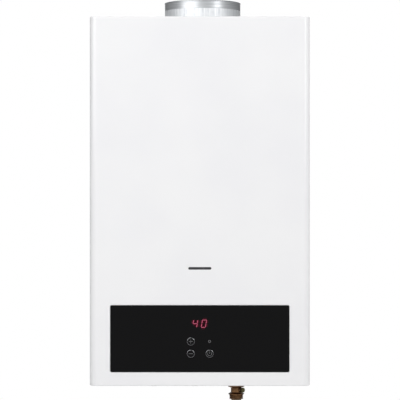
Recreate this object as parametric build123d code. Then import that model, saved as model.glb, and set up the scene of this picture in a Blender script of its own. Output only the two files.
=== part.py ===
from build123d import *
import os
from math import cos, radians, sin

# Wall-hung tankless gas water heater, in millimetres.
# +Z is up, +X is right as seen from the front, the front faces -Y and the wall is the plane y = 0.
# The origin is the middle of the back plate's wall face.

# Casing
CASE_W = 328.0          # width over the front cover
CASE_H = 550.0          # height over the front cover
CASE_D = 165.0          # wall to front face
SHEET = 1.0             # steel sheet of the cover and chassis
SIDE_BEND_R = 10.0      # upright front bends of the cover
EDGE_BEND_R = 1.7       # top and bottom front bends of the cover
COVER_GAP = 0.5         # cover to the chassis inside it
TRAY_GAP = 1.5          # cover's front to the top and base plates
COVER_STAND = 14.0      # rear edge of the cover from the wall
COVER_LIP = 15.0        # depth of the cover's top and bottom lips
PAN_FLANGE = 34.0       # depth of the back plate's side flanges
TRAY_FLANGE = 14.0      # height of the turned edges of the top and base plates
BASE_RECESS = 14.0      # base plate above the bottom edge of the cover
EAR_W = 240.0           # width of the hanging ears
EAR_RISE = 13.0         # how far the ears stand past the cover
EAR_HOLE_R = 3.25       # wall screw holes
EAR_HOLE_SPAN = 200.0   # across the two holes of an ear
EAR_HOLE_EDGE = 6.5     # hole centre from the end of the ear
RIB_ZS = (-160.0, -12.0, 190.0)  # stiffening ribs pressed into the back plate
RIB_L = 220.0
RIB_W = 14.0
RIB_DEPTH = 2.5

# Fits
SEAT_GAP = 0.3          # between pieces that sit close without touching
RUN_GAP = 0.06          # shaft in its bearing, on radius
SLIP_GAP = 0.1          # pin or tube slipped into its hole, on radius
HOLE_GAP = 0.4          # pipe through a plate, on radius

# Screws that hold the chassis, all alike
SCREW_R = 1.9
SCREW_HEAD_R = 3.6
SCREW_HEAD_H = 2.2
SCREW_L = 5.0
TRAY_SCREW_X = 120.0    # outer screws of the top and base plates

# Cover screws, sunk in cups under the bottom lip
COVER_SCREW_X = 110.0
COVER_SCREW_SET = 9.0   # screw axis behind the front face
CUP_R = 6.0
CUP_ROOF = 1.5
NUT_AF = 7.0
NUT_H = 3.2

# Flue
FLUE_R = 57.75          # outside of the collar
FLUE_X = 4.3            # collar axis from the middle
FLUE_RISE = 27.5        # rim above the cover
FLUE_SEAM = 15.3        # seam between the two bands above the cover
FLUE_WALL = 1.2
FLUE_FLANGE = 11.0      # flange width outside the collar
FLUE_FLANGE_T = 1.2

# Control panel
GLASS_W = 265.6
GLASS_H = 98.6
GLASS_T = 3.0
GLASS_CORNER = 1.6
GLASS_RISE = 70.1       # glass centre above the bottom edge of the cover
GLASS_RECESS = 0.8      # glass behind the front face
GLASS_GAP = 0.6         # glass to the cover's window
WINDOW_LIP = 5.0        # depth of the turned edge round the window
WINDOW_EDGE_R = 1.2
BUTTON_R = 7.0
BUTTON_GAP = 0.3
BUTTON_COLLAR = 1.5     # collar behind the glass that keeps a button in
BUTTON_TRAVEL = 0.6
BUTTON_STEM_R = 1.75
BUTTON_X = 14.0         # button columns either side of their middle
BUTTON_SHIFT = 0.6      # that middle right of the casing's
BUTTON_ROW = 4.0        # upper buttons below the middle of the glass
BUTTON_PITCH = 18.2     # upper to lower row
LENS_R = 2.5
DIGITS_RISE = 22.5      # display above the middle of the glass
DIGITS_W = 30.0
DIGITS_H = 18.0
HOUSING_W = 262.0
HOUSING_H = 80.0
HOUSING_D = 28.0
HOUSING_WALL = 2.0
BOARD_T = 1.6
DISPLAY_BOARD_W = 110.0
DISPLAY_BOARD_SET = 8.0     # display board behind the glass
MAIN_BOARD_W = 220.0
MAIN_BOARD_SET = 17.0       # main board behind the glass
BOARD_MARGIN = 2.0          # boards inside the housing's walls
POST_R = 3.0
POST_EDGE = 7.0
SWITCH_SIZE = 6.0
SWITCH_H = 3.5
PANEL_BRACKET_X = 80.0
PANEL_BRACKET_W = 20.0
PANEL_BRACKET_H = 9.5   # housing above the base plate
BRACKET_WALL = 1.5

# Sight slot
SIGHT_W = 34.5
SIGHT_H = 3.9
SIGHT_RISE = 7.9        # slot above the top of the burner box
SIGHT_GLASS_W = 46.0
SIGHT_GLASS_H = 12.0
SIGHT_GLASS_T = 2.0
SIGHT_FRAME_RIM = 6.0
SIGHT_FRAME_BACK = 1.2

# Heat exchanger
CORE_W = 190.0
CORE_D = 112.0
CORE_BACK = 18.0        # exchanger from the wall
CORE_SHEET = 1.0
BURNER_RISE = 117.0     # burner box above the base plate's lower face
BURNER_H = 36.0
PIPE_R = 6.5
PIPE_WALL = 0.8
PIPE_BEND_R = 13.0
COIL_BEND_R = 16.0
COIL_GAP = 0.5          # wound pipe to the shell
COIL_PITCH = 50.0       # rise of the wound pipe in a turn
COIL_START = 26.0       # first coil turn above the burner box
COIL_DROP = 30.0        # last coil turn below the fins' tubes
COIL_RISER = 24.0       # riser beside the exchanger
TUBE_COUNT = 5
TUBE_PITCH = 21.5
TUBE_SPUR = 3.0         # tube ends outside the shell
FIN_H = 58.0
FIN_T = 0.6
FIN_PITCH = 7.5
FIN_TOP = 6.0           # fins below the shell's top
BRACKET_W = 120.0
BRACKET_H = 20.0
BRACKET_EDGE = 5.0      # brackets from the ends of what they hold

# Burner
STRIP_COUNT = 9
STRIP_PITCH = 20.0
STRIP_BASE = 10.0
STRIP_WAIST = 6.0
STRIP_HEAD = 9.0
STRIP_H = 26.0
STRIP_FOOT_H = 13.0
STRIP_HEAD_H = 7.0
STRIP_END = 3.0         # strip ends from the box walls
PORT_PITCH = 6.0
PORT_W = 1.2
PORT_D = 2.5
VENTURI_R = 3.8
VENTURI_L = 20.0
AIR_SLOT_W = 6.0
MANIFOLD_W = 172.0
MANIFOLD_D = 14.0
MANIFOLD_H = 15.0
MANIFOLD_WALL = 2.0
MANIFOLD_SET = 9.0      # manifold in front of the burner box
MANIFOLD_TAB = 8.0
NOZZLE_R = 3.4
NOZZLE_TIP_R = 1.6
NOZZLE_TIP_L = 2.0
NOZZLE_HOLE_R = 4.5
ELECTRODE_X = (-30.0, 10.0, 50.0)
ELECTRODE_R = 0.9
ELECTRODE_L = 54.0
ELECTRODE_TAIL = 4.0
ELECTRODE_DROP = 6.0    # electrodes below the top of the burner box
CERAMIC_R = 2.5
CERAMIC_OUT = 16.0
CERAMIC_IN = 10.0
CERAMIC_FLANGE_R = 5.0
CERAMIC_FLANGE_T = 3.0

# Exhaust fan
HOOD_H = 29.7
PLENUM_D = 36.0
PLENUM_W = 100.0
SCROLL_W = 50.0
SCROLL_R = 50.0         # least radius of the scroll
SCROLL_STEP = 6.0       # growth of the scroll each quarter turn
FAN_DROP = 84.0         # fan axis below the top plate
INLET_EYE_R = 34.0
EYE_MARGIN = 8.0        # plenum above the eye
OUTLET_RIM = 64.0       # outlet plate half width
OUTLET_RIM_D = 58.0     # outlet plate half depth
FAN_R = 46.0
FAN_DISC_T = 1.6
FAN_END_GAP = 4.0
FAN_BLADES = 20
BLADE_T = 1.2
BLADE_L = 10.0
BLADE_TILT = 35.0
BLADE_SET = 5.5         # middle of a blade inside the wheel's edge
FAN_RING_W = 7.0        # end ring, on radius
FAN_HUB_R = 9.0
FAN_HUB_L = 18.0
SHAFT_R = 3.0
SHAFT_HOLE_R = 9.0
SHAFT_IN_MOTOR = 28.0
MOTOR_R = 29.0
MOTOR_L = 40.0
MOTOR_RIM_R = 34.0
MOTOR_RIM_T = 3.0
SWITCH_DISC_R = 13.0
SWITCH_DISC_L = 18.0
STUB_R = 1.9
STUB_L = 8.0
HOSE_R = 3.5
HOSE_BEND_R = 30.0
HOSE_RISE = 45.0        # hose tap above the fan axis
THERMOSTAT_X = 60.0
THERMOSTAT_R = 8.0
THERMOSTAT_L = 7.0

# Plumbing under the exchanger
COLD_X = 55.9
HOT_X = 70.0            # hot outlet left of the middle
INLET_R = 12.0
INLET_SEAT_R = 15.0
INLET_SEAT_T = 3.0
FLARE_R = 12.7
FLARE_DROP = 9.3        # foot of the inlet's body below the cover
NECK_R = 8.2
NECK_DROP = 11.5
THREAD_R = 10.48        # half-inch pipe thread
THREAD_ROOT_R = 9.35
THREAD_PITCH = 1.81
THREAD_LAND = 0.9       # flat on each crest
THREAD_L = 7.3
INLET_THREAD_DROP = 21.2
SHOULDER_R = 12.0       # edge above the inlet's thread
SHOULDER_H = 3.2
SHOULDER_LAND = 0.8
OUTLET_DROP = 8.0       # hidden nipples below the cover
FITTING_BORE_R = 5.5
FITTING_RISE = 23.0     # fittings above the base plate
FILTER_WALL = 1.5
FILTER_BORE_R = 6.8
FILTER_L = 36.0
FILTER_OUT = 3.0        # strainer below the thread
FILTER_LIP_R = 7.6
DRAIN_ANGLE = -45.0     # drain plug's direction, from +X
DRAIN_DROP = 14.3       # drain plug below the cover
DRAIN_BOSS_R = 3.4
DRAIN_BOSS_END = 10.8   # end of the boss from the inlet's axis
DRAIN_SHANK_R = 1.6
DRAIN_SHANK_L = 3.4
DRAIN_HEAD_AF = 7.0
DRAIN_HEAD_L = 3.4
DRAIN_SEAL_T = 0.8
DRAIN_SEAL_R = 3.3
SENSOR_R = 16.0
SENSOR_H = 40.0
SENSOR_CAVITY_R = 11.0
SENSOR_END = 6.0
SENSOR_BAR = 3.0
ROTOR_AXLE_R = 1.5
ROTOR_HUB_R = 3.5
ROTOR_VANES = 4
ROTOR_VANE_T = 1.4
ROTOR_GAP = 1.0
PIPE_RUN_DROP = 28.0    # water pipes below the burner box
COLD_RISER_SET = 16.0   # cold riser in front of the exchanger's middle
HOT_RISER = 31.0        # hot pipe beside the exchanger
THERMISTOR_BOSS_R = 6.0
THERMISTOR_BOSS_L = 18.0
THERMISTOR_R = 4.5
THERMISTOR_L = 12.0

# Gas valve
VALVE_W = 56.0
VALVE_D = 50.0
VALVE_H = 62.0
VALVE_LEG_H = 16.0
VALVE_LEG_R = 5.0
VALVE_LEG_SPAN = 44.0
VALVE_EDGE_R = 3.0
GAS_PIPE_R = 6.0
GAS_PIPE_WALL = 1.0
GAS_BEND_R = 12.0
GAS_RUN_DROP = 14.0     # gas pipe below the burner box
COIL_CAN_R = 15.0
COIL_CAN_L = 30.0
COIL_CAN_END = 4.0
SOLENOID_DROP = 24.0    # solenoid axis below the top of the valve
SEAT_BORE_R = 10.0
SEAT_BORE_L = 10.0
PLUNGER_R = 5.0
PLUNGER_TRAVEL = 2.5
VALVE_DISC_R = 8.0
VALVE_DISC_T = 2.0
MODULATOR_R = 17.0
MODULATOR_L = 26.0
MODULATOR_RISE = 20.0
MODULATOR_CAP_R = 6.0
MODULATOR_CAP_L = 3.0

# Electrics on the back plate
MODULE_SET = 11.5       # modules inside the turned edges
MODULE_W = 50.0
MODULE_H = 58.0
MODULE_RISE = 22.0      # modules above the base plate
IGNITER_D = 30.0
POWER_D = 45.0
MODULE_EDGE_R = 3.0
GROMMET_X = 120.0
GROMMET_Y = -60.0
GROMMET_HOLE_R = 7.0
GROMMET_R = 9.5
GROMMET_BORE_R = 4.0
GROMMET_LIP = 2.5
LOOM_R = 3.0
LOOM_BEND_R = 18.0
LOOM_OUT_X = 110.0
LOOM_OUT = 22.0
LOOM_EXIT_R = 7.0
LEAD_R = 1.3            # leads of the electrodes
LEAD_PITCH = 3.5
LEAD_SET = 10.0         # nearest lead beside the burner box
LEAD_START_R = 3.0
LEAD_BEND_R = 8.0

# Datums worked out from the sizes above
FRONT_Y = -CASE_D
TOP_Z = CASE_H / 2
BOTTOM_Z = -CASE_H / 2
PAN_X = CASE_W / 2 - SHEET - COVER_GAP
TRAY_X = PAN_X - SHEET
TRAY_FRONT = FRONT_Y + SHEET + TRAY_GAP
TOP_PLATE_Z = TOP_Z - SHEET - COVER_GAP
UNDER_TOP = TOP_PLATE_Z - SHEET
BASE_Z = BOTTOM_Z + BASE_RECESS
BASE_TOP = BASE_Z + SHEET
EAR_Z = CASE_H / 2 + EAR_RISE
EAR_HOLE_Z = EAR_Z - EAR_HOLE_EDGE

CORE_Y1 = -CORE_BACK
CORE_Y0 = CORE_Y1 - CORE_D
CORE_Y = (CORE_Y0 + CORE_Y1) / 2
CORE_X = CORE_W / 2
BURNER_Z0 = BASE_Z + BURNER_RISE
CORE_Z0 = BURNER_Z0 + BURNER_H
FAN_Z = UNDER_TOP - FAN_DROP
SCROLL_BOTTOM = FAN_Z - (SCROLL_R + 2 * SCROLL_STEP + SCROLL_STEP / 2) - CORE_SHEET
HOOD_Z1 = SCROLL_BOTTOM - SEAT_GAP
CORE_Z1 = HOOD_Z1 - HOOD_H
FIN_Z = CORE_Z1 - FIN_TOP - FIN_H / 2
TUBE_YS = [CORE_Y + (TUBE_COUNT - 1 - 2 * i) * TUBE_PITCH / 2 for i in range(TUBE_COUNT)]

SCROLL_Y1 = CORE_Y1 - PLENUM_D
SCROLL_Y0 = SCROLL_Y1 - SCROLL_W
FLUE_Y = (SCROLL_Y0 + SCROLL_Y1) / 2
DUCT_W = SCROLL_R + 4 * SCROLL_STEP
FAN_X = FLUE_X + SCROLL_STEP / 2 - DUCT_W / 2
DUCT_RIGHT = FLUE_X + DUCT_W / 2 + CORE_SHEET
RIM_Z = TOP_Z + FLUE_RISE
FLUE_SEAM_Z = TOP_Z + FLUE_SEAM

GLASS_Z = BOTTOM_Z + GLASS_RISE
GLASS_Y0 = FRONT_Y + GLASS_RECESS
GLASS_Y1 = GLASS_Y0 + GLASS_T
HOUSING_Z0 = BASE_TOP + PANEL_BRACKET_H
HOUSING_Z1 = HOUSING_Z0 + HOUSING_H
HOUSING_Z = HOUSING_Z0 + HOUSING_H / 2
HOUSING_Y1 = GLASS_Y1 + HOUSING_D
BUTTON_Z1 = GLASS_Z - BUTTON_ROW
BUTTON_Z0 = BUTTON_Z1 - BUTTON_PITCH
BUTTONS = {
    "plus_button": (BUTTON_SHIFT - BUTTON_X, BUTTON_Z1),
    "minus_button": (BUTTON_SHIFT - BUTTON_X, BUTTON_Z0),
    "power_button": (BUTTON_SHIFT + BUTTON_X, BUTTON_Z0),
}
LENS_AT = (BUTTON_SHIFT + BUTTON_X, BUTTON_Z1)
DIGITS_Z = GLASS_Z + DIGITS_RISE
BOARD_H = HOUSING_H - 2 * HOUSING_WALL - 2 * BOARD_MARGIN
DISPLAY_BOARD_Y = GLASS_Y1 + DISPLAY_BOARD_SET
MAIN_BOARD_Y = GLASS_Y1 + MAIN_BOARD_SET
SIGHT_Z = CORE_Z0 + SIGHT_RISE

PLUMB_Y = CORE_Y
GAS_X = (COLD_X - HOT_X) / 2
FITTING_TOP = BASE_TOP + FITTING_RISE
SENSOR_Z1 = FITTING_TOP + SENSOR_H
PIPE_RUN_Z = BURNER_Z0 - PIPE_RUN_DROP
COIL_X = CORE_X + COIL_GAP + PIPE_R
COIL_Y = CORE_D / 2 + COIL_GAP + PIPE_R
CORE_CORNER = COIL_BEND_R - PIPE_R - COIL_GAP
COIL_Z0 = CORE_Z0 + COIL_START
COIL_Z1 = FIN_Z - COIL_DROP
COIL_TURNS = max(1, int((COIL_Z1 - COIL_Z0) / COIL_PITCH))
COLD_RISER_Y = CORE_Y - COLD_RISER_SET
INLET_THREAD_Z = BOTTOM_Z - INLET_THREAD_DROP
INLET_END = INLET_THREAD_Z - THREAD_L
OUTLET_END = BOTTOM_Z - OUTLET_DROP
DRAIN_Z = BOTTOM_Z - DRAIN_DROP
DRAIN_AXIS = (cos(radians(DRAIN_ANGLE)), sin(radians(DRAIN_ANGLE)), 0.0)

VALVE_Z0 = BASE_TOP + VALVE_LEG_H
VALVE_Z1 = VALVE_Z0 + VALVE_H
VALVE_Y0 = PLUMB_Y - VALVE_D / 2
VALVE_Y1 = PLUMB_Y + VALVE_D / 2
SOLENOID_Z = VALVE_Z1 - SOLENOID_DROP
NOZZLE_Z = BURNER_Z0 + CORE_SHEET + STRIP_FOOT_H / 2
MANIFOLD_Y1 = CORE_Y0 - MANIFOLD_SET
MANIFOLD_Y = MANIFOLD_Y1 - MANIFOLD_D / 2
STRIP_XS = [(i - (STRIP_COUNT - 1) / 2) * STRIP_PITCH for i in range(STRIP_COUNT)]
ELECTRODE_Z = CORE_Z0 - ELECTRODE_DROP
SWITCH_DISC_X = CORE_X + SWITCH_DISC_L / 2
SWITCH_DISC_Z = CORE_Z1 + HOOD_H / 2
MODULE_X = TRAY_X - MODULE_SET - MODULE_W / 2
LOOM_X = (CORE_X + COIL_RISER + PIPE_R + CASE_W / 2 - SHEET) / 2

FRONT = (0, -1, 0)
BACK = (0, 1, 0)
UP = (0, 0, 1)
DOWN = (0, 0, -1)
RIGHT = (1, 0, 0)


# Shapes used by many pieces

def slab(x, y, z):
    """Block between two coordinates on each axis."""
    middle = [(low + high) / 2 for low, high in (x, y, z)]
    size = [abs(high - low) for low, high in (x, y, z)]
    return Pos(*middle) * Box(*size)


def rod(start, direction, radius, length):
    """Round bar from a point along a direction."""
    return extrude(Plane(origin=start, z_dir=direction) * Circle(radius), length)


def hex_bar(start, direction, across_flats, length):
    """Six-sided bar from a point along a direction."""
    outline = RegularPolygon(across_flats / 2, 6, major_radius=False)
    return extrude(Plane(origin=start, z_dir=direction) * outline, length)


def front_plate(width, height, corner, x, z, y0, y1):
    """Rounded plate parallel to the front, from depth y0 back to y1."""
    plane = Plane(origin=(x, y1, z), x_dir=RIGHT, z_dir=FRONT)
    return extrude(plane * RectangleRounded(width, height, corner), y1 - y0)


def tube(points, bends, outer, wall=0.0):
    """Bar or pipe along straight runs joined by bends."""
    path = FilletPolyline(*points, radius=bends)
    start = Plane(origin=path @ 0, z_dir=path % 0)
    section = start * Circle(outer)
    if wall:
        section -= start * Circle(outer - wall)
    return sweep(section, path=path)


def turned(profile, x, y):
    """Solid of revolution about an upright axis, from (radius, height) points."""
    outline = Polyline(*[(r, 0, z) for r, z in profile], close=True)
    return Pos(x, y, 0) * revolve(make_face(outline), Axis.Z)


def thread(top, end):
    """Crests and roots of a pipe thread, from its top down, as (radius, height) points."""
    turns = int((top - end) / THREAD_PITCH)
    points = []
    for i in range(turns):
        crest_z = top - (i + 0.5) * THREAD_PITCH
        points.append((THREAD_ROOT_R, top - i * THREAD_PITCH))
        points.append((THREAD_R, crest_z + THREAD_LAND / 2))
        points.append((THREAD_R, crest_z - THREAD_LAND / 2))
    return points + [(THREAD_ROOT_R, top - turns * THREAD_PITCH), (THREAD_ROOT_R, end)]


def hollow_box(x, y, z, wall):
    """Box of sheet, closed all round."""
    inner = [(low + wall, high - wall) for low, high in (x, y, z)]
    return slab(x, y, z) - slab(*inner)


def group(pieces):
    """Separate solids that share one node."""
    return Compound([solid for piece in pieces for solid in piece.solids()])


def mirrored_pair(piece):
    """A piece and its mirror image across the middle."""
    return group([piece, mirror(piece, Plane.YZ)])


# Chassis

def tray_screw_spots(z):
    """Screw places along the rear edge of a plate."""
    return [(x, -2 * SHEET, z) for x in (-TRAY_SCREW_X, 0.0, TRAY_SCREW_X)]


def collar_screw_spots():
    """Four screw places round the flue flange, on the diagonals."""
    ring = FLUE_R + FLUE_FLANGE / 2
    turns = [radians(45 + 90 * i) for i in range(4)]
    return [(FLUE_X + ring * cos(a), FLUE_Y + ring * sin(a)) for a in turns]


TOP_SCREW_Z = TOP_PLATE_Z - TRAY_FLANGE / 2
BASE_SCREW_Z = BASE_Z + TRAY_FLANGE / 2


def back_plate():
    """Pan with side flanges and two hanging ears."""
    pan = slab((-PAN_X, PAN_X), (-SHEET, 0), (BASE_Z, TOP_PLATE_Z))
    pan += slab((-EAR_W / 2, EAR_W / 2), (-SHEET, 0), (-EAR_Z, EAR_Z))
    for side in (-1, 1):
        pan += slab((side * PAN_X, side * TRAY_X), (-PAN_FLANGE, 0), (BASE_Z, TOP_PLATE_Z))
    for x in (-EAR_HOLE_SPAN / 2, EAR_HOLE_SPAN / 2):
        for z in (-EAR_HOLE_Z, EAR_HOLE_Z):
            pan -= rod((x, -2 * SHEET, z), BACK, EAR_HOLE_R, 3 * SHEET)
    for spot in tray_screw_spots(TOP_SCREW_Z) + tray_screw_spots(BASE_SCREW_Z):
        pan -= rod(spot, BACK, SCREW_R + SLIP_GAP, 3 * SHEET)
    for z in RIB_ZS:
        at = Plane(origin=(0, 0, z), x_dir=RIGHT, z_dir=FRONT)
        pan += extrude(at * SlotOverall(RIB_L, RIB_W), RIB_DEPTH + SHEET)
        pan -= extrude(at * SlotOverall(RIB_L - 2 * SHEET, RIB_W - 2 * SHEET), RIB_DEPTH)
    return pan


def tray(plate_z, edge_z):
    """Flat plate with turned edges at its sides and rear, between two heights."""
    low, high = sorted((plate_z, edge_z))
    plate_end = plate_z + (SHEET if edge_z > plate_z else -SHEET)
    form = slab((-TRAY_X, TRAY_X), (TRAY_FRONT, -SHEET), (plate_z, plate_end))
    form = fillet(form.edges().filter_by(Axis.Z).group_by(Axis.Y)[0], SIDE_BEND_R - SHEET)
    form += slab((-TRAY_X, TRAY_X), (-2 * SHEET, -SHEET), (low, high))
    for side in (-1, 1):
        form += slab((side * TRAY_X, side * (TRAY_X - SHEET)), (-PAN_FLANGE, -SHEET), (low, high))
    return form


def top_plate():
    """Upper plate with the flue hole and its screw holes."""
    plate = tray(TOP_PLATE_Z, TOP_PLATE_Z - TRAY_FLANGE)
    plate -= rod((FLUE_X, FLUE_Y, UNDER_TOP - SHEET), UP, FLUE_R - FLUE_WALL, 3 * SHEET)
    for x, y in collar_screw_spots():
        plate -= rod((x, y, UNDER_TOP - SHEET), UP, SCREW_R + SLIP_GAP, 3 * SHEET)
    for spot in tray_screw_spots(TOP_SCREW_Z):
        plate -= rod(spot, BACK, SCREW_R + SLIP_GAP, 2 * SHEET)
    return plate


def base_plate():
    """Lower plate with holes for the fittings and open slots for the cover screws."""
    plate = tray(BASE_Z, BASE_Z + TRAY_FLANGE)
    holes = [
        (COLD_X, PLUMB_Y, INLET_R + HOLE_GAP),
        (-HOT_X, PLUMB_Y, INLET_R + HOLE_GAP),
        (GAS_X, PLUMB_Y, INLET_R + HOLE_GAP),
        (GROMMET_X, GROMMET_Y, GROMMET_HOLE_R),
    ]
    for x, y, radius in holes:
        plate -= rod((x, y, BASE_Z - SHEET), UP, radius, 3 * SHEET)
    slot_r = SCREW_R + HOLE_GAP
    slot_y = FRONT_Y + COVER_SCREW_SET
    for x in (-COVER_SCREW_X, COVER_SCREW_X):
        plate -= rod((x, slot_y, BASE_Z - SHEET), UP, slot_r, 3 * SHEET)
        plate -= slab((x - slot_r, x + slot_r), (FRONT_Y, slot_y), (BASE_Z - SHEET, BASE_TOP + SHEET))
    for spot in tray_screw_spots(BASE_SCREW_Z):
        plate -= rod(spot, BACK, SCREW_R + SLIP_GAP, 2 * SHEET)
    return plate


def pan_screw(head, direction, length):
    """Pan-head screw whose head rests at a point, its shank along a direction."""
    outward = tuple(-part for part in direction)
    cap = rod(head, outward, SCREW_HEAD_R, SCREW_HEAD_H)
    cap = fillet(cap.edges().sort_by(Axis(head, outward))[-1], SCREW_HEAD_H / 2)
    return cap + rod(head, direction, SCREW_R, length)


def chassis_screws():
    """All the pan-head screws of the plates and the flue collar."""
    rear = tray_screw_spots(TOP_SCREW_Z) + tray_screw_spots(BASE_SCREW_Z)
    screws = [pan_screw(spot, BACK, 2 * SHEET - SLIP_GAP) for spot in rear]
    flange_z = TOP_PLATE_Z + FLUE_FLANGE_T
    screws += [pan_screw((x, y, flange_z), DOWN, SCREW_L) for x, y in collar_screw_spots()]
    return group(screws)


# Flue collar

def flue_collar():
    """Flanged lower band with the sleeve that carries the upper ring."""
    bore = FLUE_R - 2 * FLUE_WALL
    sleeve = FLUE_R - FLUE_WALL - SLIP_GAP / 2
    flange_z = TOP_PLATE_Z + FLUE_FLANGE_T
    collar = turned([
        (bore, TOP_PLATE_Z), (FLUE_R + FLUE_FLANGE, TOP_PLATE_Z), (FLUE_R + FLUE_FLANGE, flange_z),
        (FLUE_R, flange_z), (FLUE_R, FLUE_SEAM_Z), (sleeve, FLUE_SEAM_Z),
        (sleeve, RIM_Z - FLUE_WALL), (bore, RIM_Z - FLUE_WALL),
    ], FLUE_X, FLUE_Y)
    for x, y in collar_screw_spots():
        collar -= rod((x, y, TOP_PLATE_Z - SHEET), UP, SCREW_R + SLIP_GAP, 3 * SHEET)
    return collar


def flue_ring():
    """Polished upper band with a rolled rim."""
    ring = turned([
        (FLUE_R - FLUE_WALL, FLUE_SEAM_Z), (FLUE_R, FLUE_SEAM_Z), (FLUE_R, RIM_Z),
        (FLUE_R - FLUE_WALL, RIM_Z),
    ], FLUE_X, FLUE_Y)
    rim = ring.faces().sort_by(Axis.Z)[-1].edges()
    return fillet(rim, FLUE_WALL / 3)


# Front cover

def cover_form(inset, rear_y):
    """Outer form of the cover drawn in by an inset, up to a rear plane."""
    half = CASE_W / 2 - inset
    form = slab((-half, half), (FRONT_Y + inset, rear_y), (BOTTOM_Z + inset, TOP_Z - inset))
    form = fillet(form.edges().filter_by(Axis.Z).group_by(Axis.Y)[0], SIDE_BEND_R - inset)
    faces = form.faces().sort_by(Axis.Z)
    rims = faces[0].edges().sort_by(Axis.Y)[:-1] + faces[-1].edges().sort_by(Axis.Y)[:-1]
    return fillet(rims, EDGE_BEND_R - inset)


def cover_screw_spots():
    """Places of the cover screws, as (x, y)."""
    return [(x, FRONT_Y + COVER_SCREW_SET) for x in (-COVER_SCREW_X, COVER_SCREW_X)]


CUP_TOP = BASE_Z - SEAT_GAP


def front_cover():
    """Folded cover with its panel window, sight slot and screw cups."""
    cover = cover_form(0, -COVER_STAND) - cover_form(SHEET, 0)
    inner = CASE_W / 2 - SHEET
    cover -= slab((-inner, inner), (FRONT_Y + COVER_LIP, 0), (BOTTOM_Z - SHEET, TOP_Z + SHEET))
    width = GLASS_W + 2 * GLASS_GAP
    height = GLASS_H + 2 * GLASS_GAP
    corner = GLASS_CORNER + GLASS_GAP
    cover += front_plate(width + 2 * SHEET, height + 2 * SHEET, corner + SHEET, 0, GLASS_Z,
                         FRONT_Y, FRONT_Y + WINDOW_LIP)
    cover -= front_plate(width, height, corner, 0, GLASS_Z, FRONT_Y - SHEET, FRONT_Y + 2 * WINDOW_LIP)
    face = cover.faces().sort_by(Axis.Y)[0]
    window = face.inner_wires().sort_by(SortBy.LENGTH)[-1]
    cover = fillet(window.edges(), WINDOW_EDGE_R)
    slot = Plane(origin=(0, FRONT_Y + 2 * SHEET, SIGHT_Z), x_dir=RIGHT, z_dir=FRONT)
    cover -= extrude(slot * SlotOverall(SIGHT_W, SIGHT_H), 4 * SHEET)
    for x, y in cover_screw_spots():
        cover += rod((x, y, BOTTOM_Z), UP, CUP_R, CUP_TOP - BOTTOM_Z)
        cover -= rod((x, y, BOTTOM_Z - SHEET), UP, CUP_R - SHEET, CUP_TOP - CUP_ROOF - BOTTOM_Z + SHEET)
        cover -= rod((x, y, BOTTOM_Z), UP, SCREW_R + SLIP_GAP, BASE_RECESS)
    return cover


def cover_screws():
    """Two screws with their heads inside the cups."""
    head_z = CUP_TOP - CUP_ROOF
    length = BASE_TOP + NUT_H - head_z
    return group([pan_screw((x, y, head_z), UP, length) for x, y in cover_screw_spots()])


def cover_nuts():
    """Two captive nuts above the base plate."""
    nuts = []
    for x, y in cover_screw_spots():
        nut = hex_bar((x, y, BASE_TOP + SEAT_GAP), UP, NUT_AF, NUT_H)
        nuts.append(nut - rod((x, y, BASE_TOP), UP, SCREW_R + SLIP_GAP / 2, 2 * NUT_H))
    return group(nuts)


def sight_window():
    """Heat-proof glass strip behind the sight slot."""
    y0 = FRONT_Y + SHEET
    return front_plate(SIGHT_GLASS_W, SIGHT_GLASS_H, SHEET, 0, SIGHT_Z, y0, y0 + SIGHT_GLASS_T)


def sight_frame():
    """Retainer that holds the strip against the cover."""
    y0 = FRONT_Y + SHEET
    y1 = y0 + SIGHT_GLASS_T + SIGHT_FRAME_BACK
    outer_w = SIGHT_GLASS_W + 2 * SIGHT_FRAME_RIM
    outer_h = SIGHT_GLASS_H + 2 * SIGHT_FRAME_RIM
    pocket_w = SIGHT_GLASS_W + 2 * SLIP_GAP
    pocket_h = SIGHT_GLASS_H + 2 * SLIP_GAP
    frame = front_plate(outer_w, outer_h, 2 * SHEET, 0, SIGHT_Z, y0, y1)
    frame -= front_plate(pocket_w, pocket_h, SHEET, 0, SIGHT_Z, y0 - SHEET, y0 + SIGHT_GLASS_T)
    return frame - front_plate(SIGHT_W, SIGHT_GLASS_H / 2, SHEET, 0, SIGHT_Z, y0, y1 + SHEET)


# Control panel

def glass_panel():
    """Black glass front of the panel with round holes for the buttons and the indicator."""
    glass = front_plate(GLASS_W, GLASS_H, GLASS_CORNER, 0, GLASS_Z, GLASS_Y0, GLASS_Y1)
    for x, z in BUTTONS.values():
        glass -= rod((x, GLASS_Y0 - GLASS_T, z), BACK, BUTTON_R + BUTTON_GAP, 3 * GLASS_T)
    x, z = LENS_AT
    return glass - rod((x, GLASS_Y0 - GLASS_T, z), BACK, LENS_R + SLIP_GAP, 3 * GLASS_T)


def post_spots(width):
    """Corner places for the posts of a board, as (x, z)."""
    dx = width / 2 - POST_EDGE
    dz = BOARD_H / 2 - POST_EDGE
    return [(sx * dx, HOUSING_Z + sz * dz) for sx in (-1, 1) for sz in (-1, 1)]


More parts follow.
